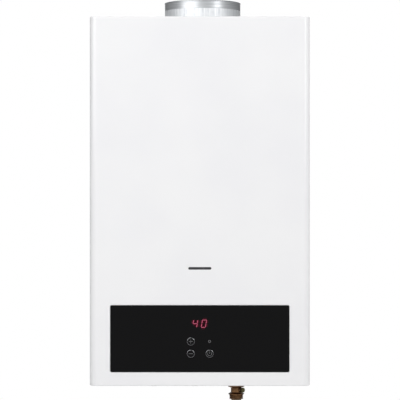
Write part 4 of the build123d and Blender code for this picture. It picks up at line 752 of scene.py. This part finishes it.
@dataclass
class Casing(SubAssembly):
    """White cover and the galvanised sheet that it hangs on."""

    tray_screw_y: float = -2.0 * MM
    tray_screw_xs: tuple[float, ...] = (-120.0 * MM, 0.0, 120.0 * MM)
    upper_row_rise: float = 7.0 * MM
    flange_screws: int = 4
    flange_start: float = 45.0  # degrees
    cover_shank: float = 6.0 * MM

    def dress(self) -> None:
        """Enamels the cover and galvanises the inner sheet."""
        dress(ENAMEL, "front_cover")
        dress(ZINC_SHEET, "back_plate", "top_plate", "base_plate", "core_brackets", "panel_brackets")
        dress(PLATED, "cover_nuts")
        dress(SMOKED_GLASS, "sight_window")
        dress(MOULDED_BLACK, "sight_frame")

    def pieces(self) -> list[Piece]:
        """Builds the screws of the chassis and of the cover and returns them."""
        return [self.chassis_screws(), self.cover_screws()]

    def chassis_screws(self) -> Piece:
        """Screws of the trays and of the flue flange.

        Returns:
            The screws as one piece.
        """
        screw = CrossScrew()
        low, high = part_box("chassis_screws")
        rows = (low.z + screw.head_radius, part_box("top_plate")[0].z + self.upper_row_rise)
        spots = [Spot(Vector((x, self.tray_screw_y, z)), FRONT) for x in self.tray_screw_xs for z in rows]
        centre = middle("flue_collar")
        centre.z = high.z - screw.head_height
        reach = (half_width("flue_collar") + half_width("flue_ring")) / 2
        seats = circle(centre, reach, UP, start=self.flange_start, steps=self.flange_screws)
        spots += [Spot(seat, UP) for seat in seats]
        made = COPIES.copies("tray_and_flange_screws", screw.make(), spots, PLATED)
        return settle(made, "chassis", "screw_steel", "chassis_screws")

    def cover_screws(self) -> Piece:
        """Screws that hold the cover to the base, heads down.

        Returns:
            The two screws as one piece.
        """
        screw = CrossScrew(shank=self.cover_shank)
        low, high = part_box("cover_screws")
        seat = low.z + screw.head_height
        xs = (low.x + screw.head_radius, high.x - screw.head_radius)
        spots = [Spot(Vector((x, middle("cover_screws").y, seat)), -UP) for x in xs]
        made = COPIES.copies("cover_base_screws", screw.make(), spots, PLATED)
        return settle(made, "cover", "screw_steel", "cover_screws")


@dataclass
class FlueOutlet(SubAssembly):
    """Round collar on top, with its polished rim ring."""

    rivet_gap: float = 5.0 * MM
    rivet_radius: float = 1.4 * MM
    rivet_height: float = 0.7 * MM
    bead_radius: float = 0.8 * MM
    bead_sunk: float = 0.3 * MM

    def dress(self) -> None:
        """Gives the collar rolled zinc and its ring a polish."""
        dress(ZINC_BAND, "flue_collar")
        dress(POLISHED, "flue_ring")

    def pieces(self) -> list[Piece]:
        """Builds the lap's rivets and the ring's rolled edge and returns them."""
        return [self.lap_rivets(), self.rolled_edge()]

    def rolled_edge(self) -> Piece:
        """Bead round the top of the ring.

        Returns:
            The bead.
        """
        centre = middle("flue_ring")
        centre.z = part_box("flue_ring")[1].z - self.bead_radius
        path = circle(centre, half_width("flue_ring") - self.bead_sunk, UP, steps=96)
        made = WIRES.along("flue_rolled_edge", [(path, True)], self.bead_radius, POLISHED, sides=12)
        return settle(made, "chassis", "polished_steel")

    def lap_rivets(self) -> Piece:
        """Rivets on the collar's lap, at the back.

        Returns:
            The rivets as one piece.
        """
        ring_low, ring_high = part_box("flue_ring")
        z = (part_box("flue_collar")[0].z + ring_low.z) / 2
        lap = Vector((middle("flue_collar").x, ring_high.y, z))
        spots = [Spot(lap + side * self.rivet_gap / 2 * UP, -FRONT) for side in (-1, 1)]
        rivet = Rivet(self.rivet_radius, self.rivet_height)
        made = COPIES.copies("collar_lap_rivets", rivet.make(), spots, PLATED)
        return settle(made, "chassis", "screw_steel")


class Segment(Enum):
    """Bars of a seven-segment digit: place in half widths and half heights, and whether it stands."""

    TOP = (0.0, 1.0, False)
    MIDDLE = (0.0, 0.0, False)
    BOTTOM = (0.0, -1.0, False)
    UPPER_LEFT = (-1.0, 0.5, True)
    UPPER_RIGHT = (1.0, 0.5, True)
    LOWER_LEFT = (-1.0, -0.5, True)
    LOWER_RIGHT = (1.0, -0.5, True)


FOUR = (Segment.UPPER_LEFT, Segment.UPPER_RIGHT, Segment.MIDDLE, Segment.LOWER_RIGHT)
ZERO = tuple(segment for segment in Segment if segment is not Segment.MIDDLE)


@dataclass
class ControlPanel(SubAssembly):
    """Black glass with its lit digits, printed rings and signs."""

    digit_width: float = 6.2 * MM
    digit_height: float = 10.9 * MM
    digit_pitch: float = 13.1 * MM
    digit_shift: float = -0.4 * MM
    bar_width: float = 0.8 * MM
    bar_depth: float = 0.16 * MM
    bar_gap: float = 0.3 * MM
    bar_shoulder: float = 0.42  # from the bar's middle, in lengths
    halo_width: float = 4.4 * MM
    halo_depth: float = 0.1 * MM
    glow_width: float = 7.0 * MM
    glow_depth: float = 0.05 * MM
    slant: float = 10.0  # degrees
    rim_radius: float = 5.65 * MM
    rim_width: float = 0.4 * MM
    rim_rise: float = 0.2 * MM
    rim_sunk: float = 0.2  # this and the next two are shares of the rim's rise or width
    rim_slope: float = 0.9
    rim_lip: float = 0.8
    sign_reach: float = 3.1 * MM
    sign_wire: float = 0.25 * MM
    power_radius: float = 2.95 * MM
    power_gap: float = 90.0  # degrees
    power_bar: float = 3.6 * MM
    lens_ring_radius: float = 1.65 * MM
    lens_ring_wire: float = 0.3 * MM

    def dress(self) -> None:
        """Gives the panel, its buttons and the boards behind it their finishes."""
        dress(PRINTED_GLASS, "glass_panel")
        dress(BUTTON_CAP, "plus_button", "minus_button", "power_button")
        dress(LENS_RESIN, "indicator_lens")
        dress(MOULDED_BLACK, "control_housing", "tact_switches", "display_module")
        dress(SOLDER_MASK, "display_board", "main_board")

    def pieces(self) -> list[Piece]:
        """Builds the digits, the rims and the signs.

        Returns:
            The pieces.
        """
        # The halo and the wider faint bars are painted glow: the segments' spilt light laid on as dark red
        # colour.
        made = [self.digits("lit_digits", LIT_SEGMENT, self.bar_width, self.bar_depth),
                self.digits("digit_halo", PAINTED_RED_GLOW, self.halo_width, self.halo_depth),
                self.digits("digit_glow", PAINTED_FAINT_GLOW, self.glow_width, self.glow_depth),
                self.lens_ring()]
        signs = {"plus_button": self.plus, "minus_button": self.minus, "power_button": self.power}
        for body, sign in signs.items():
            made += [self.button_rim(body), self.button_sign(body, sign(face(body)))]
        return made

    def digits(self, name: str, finish: Finish, width: float, depth: float) -> Piece:
        """The four and nought, as thin slanted bars on the glass.

        Args:
            name: Name of the piece.
            finish: Finish of the bars.
            width: Width of a bar.
            depth: How far the bars stand out.

        Returns:
            The digits as one piece.
        """
        half = Vector((self.digit_width, 0.0, self.digit_height)) / 2
        spots = []
        for shift, segments in ((-0.5, FOUR), (0.5, ZERO)):
            for segment in segments:
                across, up, standing = segment.value
                place = Vector((shift * self.digit_pitch + across * half.x, 0.0, up * half.z))
                length = (half.z if standing else self.digit_width) - self.bar_gap
                spots.append(Spot(place, UP if standing else RIGHT, (1.0, 1.0, length)))
        made = COPIES.copies(name, self.bar(width, depth), spots, finish)
        lean = Matrix.Identity(4)
        lean[0][2] = math.tan(math.radians(self.slant))
        spot = face("display_module") + RIGHT * self.digit_shift
        spot.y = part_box("glass_panel")[0].y
        made.data.transform(Matrix.Translation(spot) @ lean)
        return settle(made, "chassis", "display_red")

    def bar(self, width: float, depth: float) -> Piece:
        """One display bar of unit length along Z, with pointed ends, in front of Y = 0.

        Args:
            width: Width of the bar.
            depth: How far it stands out.

        Returns:
            The bar.
        """
        shape = bmesh.new()
        w, s = width / 2, self.bar_shoulder
        outline = [(0.0, 0.5), (w, s), (w, -s), (0.0, -0.5), (-w, -s), (-w, s)]
        back = shape.faces.new([shape.verts.new((x, 0.0, z)) for x, z in outline])
        grown = bmesh.ops.extrude_face_region(shape, geom=[back])["geom"]
        fronts = [item for item in grown if isinstance(item, bmesh.types.BMVert)]
        bmesh.ops.translate(shape, verts=fronts, vec=FRONT * depth)
        return to_object("bar", shape)

    def lens_ring(self) -> Piece:
        """Printed ring on the indicator.

        Returns:
            The ring.
        """
        ring = circle(face("indicator_lens"), self.lens_ring_radius, FRONT)
        made = WIRES.along("indicator_ring", [(ring, True)], self.lens_ring_wire, PRINT_INK)
        return settle(made, "chassis", "strainer_grey")

    def button_rim(self, body: str) -> Piece:
        """Raised rim on a button, whose outer slope catches the lamps above.

        Args:
            body: The button's body, which its node is named for.

        Returns:
            The rim.
        """
        r, w, h = self.rim_radius, self.rim_width, self.rim_rise
        base = -self.rim_sunk * h
        loop = [(r - w, base), (r, base), (r, 0.0), (r - self.rim_slope * w, h), (r - w, self.rim_lip * h)]
        rim = to_object("rim", lathed(loop, steps=64, hollow=True))
        made = COPIES.copies(body + "_rim", rim, [Spot(face(body), FRONT)], DARK_CHROME)
        return settle(made, body, "polished_steel")

    def button_sign(self, body: str, strokes: list[Path]) -> Piece:
        """Printed sign on a button.

        Args:
            body: The button's body.
            strokes: Paths of the sign.

        Returns:
            The sign.
        """
        made = WIRES.along(body + "_sign", strokes, self.sign_wire, PRINT_INK)
        return settle(made, body, "strainer_grey")

    def plus(self, spot: Point) -> list[Path]:
        """Strokes of a plus sign round a point."""
        upright = [spot - UP * self.sign_reach, spot + UP * self.sign_reach]
        return self.minus(spot) + [(upright, False)]

    def minus(self, spot: Point) -> list[Path]:
        """Stroke of a minus sign round a point."""
        return [([spot - RIGHT * self.sign_reach, spot + RIGHT * self.sign_reach], False)]

    def power(self, spot: Point) -> list[Path]:
        """Open ring and bar of a power sign round a point."""
        arc = circle(spot, self.power_radius, FRONT, self.power_gap / 2, TURN - self.power_gap)
        return [(arc, False), ([spot, spot + UP * self.power_bar], False)]


@dataclass
class WaterFittings(SubAssembly):
    """Brass fittings under the base, the flow sensor and the pipes above them."""

    nut_rise: float = 0.4 * MM
    unions: tuple[tuple[str, str], ...] = (
        ("flow_sensor_body", "inlet_valve_body"), ("hot_outlet_nipple", "hot_outlet_nipple"))

    def dress(self) -> None:
        """Gives the water side brass, copper, nylon and rubber."""
        dress(BRASS, "inlet_valve_body", "hot_outlet_nipple", "outlet_thermistor")
        dress(DULLED_NICKEL, "drain_plug")
        dress(STRAINER_NYLON, "inlet_filter")
        dress(RUBBER, "drain_seal")
        dress(MOULDED_BLACK, "flow_sensor_body")
        dress(MILKY_NYLON, "flow_rotor")
        dress(COPPER, "cold_pipe", "hot_pipe")

    def pieces(self) -> list[Piece]:
        """Builds the union nuts of the two pipes, each on a seat and in line with a fitting.

        Returns:
            The nuts as one piece.
        """
        spots = []
        for seat, fitting in self.unions:
            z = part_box(seat)[1].z + self.nut_rise
            spots.append(Spot(Vector((middle(fitting).x, PIPE_Y, z)), UP))
        made = COPIES.copies("pipe_union_nuts", HexNut().make(), spots, BRASS)
        return [settle(made, "chassis", "brass")]


@dataclass
class HeatExchanger(SubAssembly):
    """Copper jacket, its fins and coil, and the burner under it."""

    rivet_rise: float = 3.0 * MM
    rivet_xs: tuple[float, ...] = tuple(x * MM for x in (-80, -48, -16, 16, 48, 80))
    rivet_ys: tuple[float, ...] = tuple(y * MM for y in (-112, -48, -32))

    def dress(self) -> None:
        """Gives the copper, the steel burner and the ceramics their finishes."""
        dress(HEATED_COPPER, "exchanger_shell", "exchanger_fins")
        dress(COPPER, "exchanger_tube", "coil_pipe")
        dress(ALUMINISED, "burner_box", "burner_strips")
        dress(CERAMIC, "electrodes")

    def pieces(self) -> list[Piece]:
        """Rivets the hood's foot to the jacket.

        Returns:
            The rivets as one piece.
        """
        low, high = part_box("collector_hood")
        z = low.z + self.rivet_rise
        spots = [Spot(Vector((x, low.y, z)), FRONT) for x in self.rivet_xs]
        for x, way in ((low.x, -RIGHT), (high.x, RIGHT)):
            spots += [Spot(Vector((x, y, z)), way) for y in self.rivet_ys]
        made = COPIES.copies("hood_rivets", Rivet().make(), spots, PLATED)
        return [settle(made, "chassis", "screw_steel")]


@dataclass
class ExhaustFan(SubAssembly):
    """Hood, scroll, wheel and motor, with the pressure switch and its hose."""

    motor_screws: int = 3
    motor_screw_ring: float = 31.4 * MM
    motor_screw_scale: float = 0.62
    motor_rim: float = 3.0 * MM
    scroll_rivets: int = 8
    scroll_rivet_ring: float = 47.0 * MM
    scroll_rivet_start: float = 22.5  # degrees
    hose_radius: float = 3.5 * MM
    clamp_wire: float = 0.7 * MM
    clamp_set: float = 4.0 * MM
    clamp_pitch: float = 1.54 * MM

    def dress(self) -> None:
        """Gives the exhaust's sheet, wheel, motor and switch their finishes."""
        dress(ALUMINISED, "collector_hood", "fan_scroll", "fan_impeller")
        dress(PLATED, "fan_shaft")
        dress(MOTOR_PAINT, "fan_motor")
        dress(MOULDED_BLACK, "pressure_switch", "overheat_thermostat")
        dress(RUBBER, "pressure_hose")

    def pieces(self) -> list[Piece]:
        """Builds the motor's screws, the scroll's rivets and the hose clamps.

        Returns:
            The three pieces.
        """
        axis = middle("fan_motor")
        axis.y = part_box("fan_motor")[1].y
        small = (self.motor_screw_scale,) * 3
        seats = circle(axis + FRONT * self.motor_rim, self.motor_screw_ring, FRONT, steps=self.motor_screws)
        heads = [Spot(seat, FRONT, small) for seat in seats]
        screws = COPIES.copies("motor_screws", CrossScrew().make(), heads, PLATED)
        ring = circle(axis, self.scroll_rivet_ring, FRONT, start=self.scroll_rivet_start,
                      steps=self.scroll_rivets)
        domes = [Spot(place, FRONT) for place in ring]
        rivets = COPIES.copies("scroll_rivets", Rivet().make(), domes, PLATED)
        clamps = WIRES.along("hose_clamps", self.clamp_paths(), self.clamp_wire, PLATED)
        return [settle(piece, "chassis", "screw_steel") for piece in (screws, rivets, clamps)]

    def clamp_paths(self) -> list[Path]:
        """Wire clamps round both ends of the hose, two turns each.

        Returns:
            The closed paths.
        """
        low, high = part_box("pressure_hose")
        y = middle("pressure_hose").y
        radius = self.hose_radius + self.clamp_wire / 2
        ends = ((Vector((high.x - self.hose_radius, y, low.z)), UP),
                (Vector((low.x, y, high.z - self.hose_radius)), RIGHT))
        sets = (self.clamp_set, self.clamp_set + self.clamp_pitch)
        return [(circle(end + way * inset, radius, way, steps=24), True)
                for inset in sets for end, way in ends]


@dataclass
class GasTrain(SubAssembly):
    """Gas valve with its coils, the feed pipe and the rail with its nozzles."""

    lid_inset: float = 7.0 * MM
    tab_x: float = 90.0 * MM
    tab_y: float = -141.0 * MM
    nut_across: float = 17.0 * MM
    nut_height: float = 6.5 * MM

    def dress(self) -> None:
        """Gives the gas side cast aluminium, brass and dark coils."""
        dress(CAST_ALUMINIUM, "gas_valve_body", "gas_manifold")
        dress(BRASS, "gas_inlet_nipple", "gas_nozzles")
        dress(COPPER, "gas_feed_pipe")
        dress(MOULDED_BLACK, "main_solenoid", "modulating_coil")
        dress(PLATED, "solenoid_plunger")

    def pieces(self) -> list[Piece]:
        """Builds the screws of valve and rail and the feed pipe's nut.

        Returns:
            The screws and the nut.
        """
        spots = corner_spots("gas_valve_body", self.lid_inset)
        tab_z = middle("gas_manifold").z
        spots += [Spot(Vector((side * self.tab_x, self.tab_y, tab_z)), FRONT) for side in (-1, 1)]
        screws = COPIES.copies("gas_screws", CrossScrew().make(), spots, PLATED)
        foot = Vector((middle("gas_valve_body").x, PIPE_Y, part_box("gas_valve_body")[1].z))
        nut = HexNut(self.nut_across, self.nut_height).make()
        union = COPIES.copies("gas_union_nut", nut, [Spot(foot, UP)], BRASS)
        return [settle(screws, "chassis", "screw_steel"), settle(union, "chassis", "brass")]


@dataclass(frozen=True)
class Lead:
    """Small lead from a device to the control housing or the loom, through points in millimetres."""

    route: tuple[tuple[float, float, float], ...]

    @property
    def path(self) -> list[Point]:
        """Points of the lead."""
        return [Vector(point) * MM for point in self.route]


SOLENOID_LEAD = Lead(((8, -34, -206), (22, -38, -204), (30, -62, -201), (30, -100, -203), (29, -124, -209),
                      (29, -134, -211)))
COIL_LEAD = Lead(((9, -113, -224), (17, -114, -226), (21, -124, -224), (21, -134, -222)))
FLOW_LEAD = Lead(((56, -89, -217), (56, -99, -216), (58, -118, -211), (59, -134, -209)))
THERMISTOR_LEAD = Lead(((-70, -103, -248.5), (-70, -112, -246), (-67, -124, -232), (-66, -134, -226)))
IGNITER_LEAD = Lead(((-118, -30, -196), (-117, -44, -194), (-110, -92, -197), (-106, -123, -202),
                     (-106, -134, -205)))
POWER_LEAD = Lead(((112, -45, -192), (111, -58, -189), (106, -98, -193), (104, -124, -200),
                   (104, -134, -203)))
THERMOSTAT_LEAD = Lead(((57, -136, 107.4), (62, -142, 103), (92, -142, 92), (124, -132, 80),
                        (139, -117, 66), (141.5, -112.5, 48)))
PRESSURE_LEAD = Lead(((112, -79, 105), (124, -83, 99), (137, -101, 88), (142, -108.5, 70)))


@dataclass
class Electrics(SubAssembly):
    """Igniter, power module, the wiring loom with its ties, and the small leads."""

    red_leads: tuple[Lead, ...] = (SOLENOID_LEAD, IGNITER_LEAD, POWER_LEAD, THERMOSTAT_LEAD)
    blue_leads: tuple[Lead, ...] = (COIL_LEAD, FLOW_LEAD, THERMISTOR_LEAD, PRESSURE_LEAD)
    twin_shift: float = 2.6 * MM
    lead_radius: float = 0.8 * MM
    plug_width: float = 7.0 * MM
    plug_height: float = 4.5 * MM
    plug_length: float = 6.0 * MM
    plug_bevel: float = 0.4 * MM
    loom_x: float = 144.25 * MM
    loom_y: float = -111.2 * MM
    loom_radius: float = 3.0 * MM
    tie_zs: tuple[float, ...] = tuple(z * MM for z in (-120, -50, 20, 90))
    tie_wire: float = 0.6 * MM
    rib_count: int = 5
    rib_pitch: float = 7.0 * MM
    rib_width: float = 3.0 * MM
    rib_height: float = 1.2 * MM
    rib_inset: float = 11.0 * MM
    rib_crown: float = 0.6  # width of its top, in widths of its foot
    screw_inset: float = 5.0 * MM
    screw_scale: float = 0.7

    def dress(self) -> None:
        """Gives the modules, the loom and the grommet their finishes."""
        dress(MOULDED_BLACK, "igniter_module", "power_module")
        dress(RUBBER, "cable_grommet", "wiring_loom")

    def pieces(self) -> list[Piece]:
        """Builds the modules' ribs and screws, the loom's ties, and the leads with their plugs.

        Returns:
            The pieces.
        """
        ribs, screws = [], []
        for node in ("igniter_module", "power_module"):
            ribs += self.rib_spots(node)
            screws += corner_spots(node, self.screw_inset, self.screw_scale)
        loom = [Vector((self.loom_x, self.loom_y, z)) for z in self.tie_zs]
        radius = self.loom_radius + self.tie_wire / 2
        rings = [(circle(place, radius, UP, steps=24), True) for place in loom]
        made = ((COPIES.copies("module_ribs", self.rib(), ribs, MOULDED_BLACK), "moulded_black"),
                (COPIES.copies("module_screws", CrossScrew().make(), screws, PLATED), "screw_steel"),
                (WIRES.along("loom_ties", rings, self.tie_wire, MILKY_NYLON), "white_ceramic"),
                (self.lead_pairs("red_leads", self.red_leads, RED_PVC), "rubber"),
                (self.lead_pairs("blue_leads", self.blue_leads, BLUE_PVC), "rubber"),
                (self.plugs(), "white_ceramic"))
        return [settle(piece, "chassis", slot) for piece, slot in made]

    def lead_pairs(self, name: str, leads: Sequence[Lead], finish: Finish) -> Piece:
        """Two wires side by side along each lead.

        Args:
            name: Name of the piece.
            leads: The leads.
            finish: Finish of their sheaths.

        Returns:
            The wires as one piece.
        """
        shifts = [side * self.twin_shift / 2 * UP for side in (-1, 1)]
        paths = [([point + shift for point in lead.path], False) for lead in leads for shift in shifts]
        return WIRES.along(name, paths, self.lead_radius, finish, steps=8)

    def plugs(self) -> Piece:
        """Plugs where leads enter the back of the control housing.

        Returns:
            The plugs as one piece.
        """
        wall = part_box("control_housing")[1].y
        ends = [lead.path[-1] for lead in self.red_leads + self.blue_leads]
        spots = [Spot(Vector((end.x, wall, end.z)), -FRONT) for end in ends if end.z < 0.0]
        w, h = self.plug_width / 2, self.plug_height / 2
        block = prism([(-w, -h), (w, -h), (w, h), (-w, h)], self.plug_length, self.plug_bevel)
        return COPIES.copies("lead_plugs", to_object("plug", block), spots, MILKY_NYLON)

    def rib_spots(self, node: str) -> list[Spot]:
        """Places of a module's ribs.

        Args:
            node: Name of the module's node.

        Returns:
            One spot for each rib, on the front.
        """
        stretch = (2 * (half_width(node) - self.rib_inset), 1.0, 1.0)
        steps = [(i - (self.rib_count - 1) / 2) * self.rib_pitch for i in range(self.rib_count)]
        return [Spot(face(node) + step * UP, FRONT, stretch) for step in steps]

    def rib(self) -> Piece:
        """One rib of unit length along X.

        Returns:
            The rib, its foot at Z = 0.
        """
        w, h = self.rib_width / 2, self.rib_height
        top = self.rib_crown * w
        shape = bmesh.new()
        profile = ((-w, 0.0), (-top, h), (top, h), (w, 0.0))
        ends = [[shape.verts.new((x, y, z)) for y, z in profile] for x in (-0.5, 0.5)]
        shape.faces.new(ends[0])
        shape.faces.new(ends[1])
        for i in range(len(profile)):
            j = (i + 1) % len(profile)
            shape.faces.new((ends[0][i], ends[0][j], ends[1][j], ends[1][i]))
        return to_object("rib", shape, sharp=30.0)


@dataclass(frozen=True)
class Softbox:
    """A studio lamp aimed at the heater.

    azimuth and elevation are the degrees at which it stands, seen from the heater, with the
    camera at azimuth 0 and the right side at 90.
    """

    name: str
    azimuth: float
    elevation: float
    distance: float
    width: float
    height: float
    level: float

    def hang(self) -> None:
        """Hangs the lamp in the scene, facing the origin."""
        data = bpy.data.lights.new(self.name, "AREA")
        data.shape = "RECTANGLE"
        data.size, data.size_y = self.width, self.height
        data.energy = self.level * math.pi * self.width * self.height
        lamp = linked(self.name, data)
        a, e = math.radians(self.azimuth), math.radians(self.elevation)
        away = Vector((math.sin(a) * math.cos(e), -math.cos(a) * math.cos(e), math.sin(e)))
        lamp.location = away * self.distance
        lamp.rotation_euler = away.to_track_quat("Z", "Y").to_euler()


@dataclass
class Studio:
    """White studio: soft lamps, a pale floor below the hanging heater, and the camera."""

    lens: float = 171.25
    camera_place: tuple[float, float, float] = (0.0003, -2.995, 0.0016)
    floor_colour: str = "#E4E4E4"
    floor_z: float = -0.757
    floor_radius: float = 2.9
    floor_clear: float = 1.0
    floor_lift: float = 0.55
    ambient_left: float = 0.08
    ambient_right: float = 0.84
    mirror_front: float = 0.9
    mirror_rear: float = 0.2
    lamps: tuple[Softbox, ...] = (
        Softbox("key_softbox", azimuth=-38.0, elevation=32.0, distance=2.3, width=2.0, height=2.5,
                level=2.05),
        Softbox("fill_softbox", azimuth=44.0, elevation=30.0, distance=2.4, width=0.6, height=2.5,
                level=3.3),
        Softbox("rear_softbox", azimuth=180.0, elevation=22.0, distance=2.8, width=1.5, height=2.2,
                level=2.3),
    )

    def build(self) -> None:
        """Sets up the view, the world, the lamps, the floor and the camera."""
        bpy.context.scene.view_settings.view_transform = "Standard"
        self.world()
        for lamp in self.lamps:
            lamp.hang()
        self.floor()
        self.camera()

    def world(self) -> None:
        """White to the camera and through glass; darker to the rear in mirrors, else to the left."""
        world = bpy.data.worlds.new("white_studio")
        bpy.context.scene.world = world
        world.use_nodes = True
        tree = world.node_tree
        tree.nodes.clear()
        rays = add_node(tree, "ShaderNodeLightPath").outputs
        way = add_node(tree, "ShaderNodeTexCoord").outputs["Generated"]
        split = add_node(tree, "ShaderNodeSeparateXYZ", {}, {0: way})
        white = {"Color": linear(WHITE)}
        seen = add_node(tree, "ShaderNodeBackground", {**white, "Strength": 1.0})
        drifts = {"Y": (self.mirror_front, self.mirror_rear), "X": (self.ambient_left, self.ambient_right)}
        skies = []
        for axis, (start, end) in drifts.items():
            drift = {"From Min": -1.0, "From Max": 1.0, "To Min": start, "To Max": end}
            level = add_node(tree, "ShaderNodeMapRange", drift, {"Value": split.outputs[axis]})
            sky = add_node(tree, "ShaderNodeBackground", white, {"Strength": level.outputs[0]})
            skies.append(sky.outputs[0])
        mirrored, soft = skies
        indirect = add_node(tree, "ShaderNodeMixShader", {}, {
            0: rays["Is Glossy Ray"], 1: soft, 2: mirrored})
        direct = add_node(tree, "ShaderNodeMath", {"operation": "MAXIMUM"}, {
            0: rays["Is Camera Ray"], 1: rays["Is Transmission Ray"]})
        whole = add_node(tree, "ShaderNodeMixShader", {}, {
            0: direct.outputs[0], 1: indirect.outputs[0], 2: seen.outputs[0]})
        add_node(tree, "ShaderNodeOutputWorld", {}, {"Surface": whole.outputs[0]})

    def floor(self) -> None:
        """Pale matt floor that keeps the shadow, fades to white at its rim and is open from below."""
        shape = bmesh.new()
        bmesh.ops.create_circle(shape, cap_ends=True, segments=96, radius=self.floor_radius)
        bmesh.ops.translate(shape, verts=shape.verts, vec=(0.0, 0.0, self.floor_z))
        floor = to_object("studio_floor", shape)
        made = bpy.data.materials.new("matt_white_floor")
        made.use_nodes = True
        tree = made.node_tree
        tree.nodes.clear()
        place = add_node(tree, "ShaderNodeTexCoord").outputs["Object"]
        level = {"operation": "MULTIPLY", 1: (1.0, 1.0, 0.0)}
        flat = add_node(tree, "ShaderNodeVectorMath", level, {0: place})
        far = add_node(tree, "ShaderNodeVectorMath", {"operation": "LENGTH"}, {0: flat.outputs[0]})
        edges = {"From Min": self.floor_clear, "From Max": self.floor_radius}
        fade = add_node(tree, "ShaderNodeMapRange", {"interpolation_type": "SMOOTHSTEP", **edges},
                        {"Value": far.outputs["Value"]})
        rays = add_node(tree, "ShaderNodeLightPath").outputs
        seen = rays["Is Camera Ray"]
        larger = {"operation": "MAXIMUM"}
        for kind in ("Is Glossy Ray", "Is Transmission Ray"):
            seen = add_node(tree, "ShaderNodeMath", larger, {0: seen, 1: rays[kind]}).outputs[0]
        lifted = add_node(tree, "ShaderNodeMath", {"operation": "MULTIPLY", 1: self.floor_lift}, {0: seen})
        share = add_node(tree, "ShaderNodeMath", larger, {0: fade.outputs[0], 1: lifted.outputs[0]})
        matt = add_node(tree, "ShaderNodeBsdfDiffuse", {"Color": linear(self.floor_colour)})
        white = add_node(tree, "ShaderNodeEmission", {"Color": linear(WHITE)})
        above = add_node(tree, "ShaderNodeMixShader", {}, {
            0: share.outputs[0], 1: matt.outputs[0], 2: white.outputs[0]})
        below = add_node(tree, "ShaderNodeBsdfTransparent")
        side = add_node(tree, "ShaderNodeNewGeometry").outputs["Backfacing"]
        whole = add_node(tree, "ShaderNodeMixShader", {}, {
            0: side, 1: above.outputs[0], 2: below.outputs[0]})
        add_node(tree, "ShaderNodeOutputMaterial", {}, {"Surface": whole.outputs[0]})
        floor.data.materials.append(made)

    def camera(self) -> None:
        """Long lens straight in front of the heater, as in the photograph."""
        data = bpy.data.cameras.new("front_camera")
        data.lens = self.lens
        camera = linked("front_camera", data)
        camera.location = self.camera_place
        camera.rotation_euler = (math.radians(90.0), 0.0, 0.0)
        bpy.context.scene.camera = camera


def main() -> None:
    """Builds the sub-assemblies in order, then the studio."""
    logging.basicConfig(level=logging.INFO, format="%(message)s")
    for part in (Casing(), FlueOutlet(), ControlPanel(), WaterFittings(), HeatExchanger(), ExhaustFan(),
                 GasTrain(), Electrics()):
        part.build()
    Studio().build()


if __name__ == "__main__":
    main()
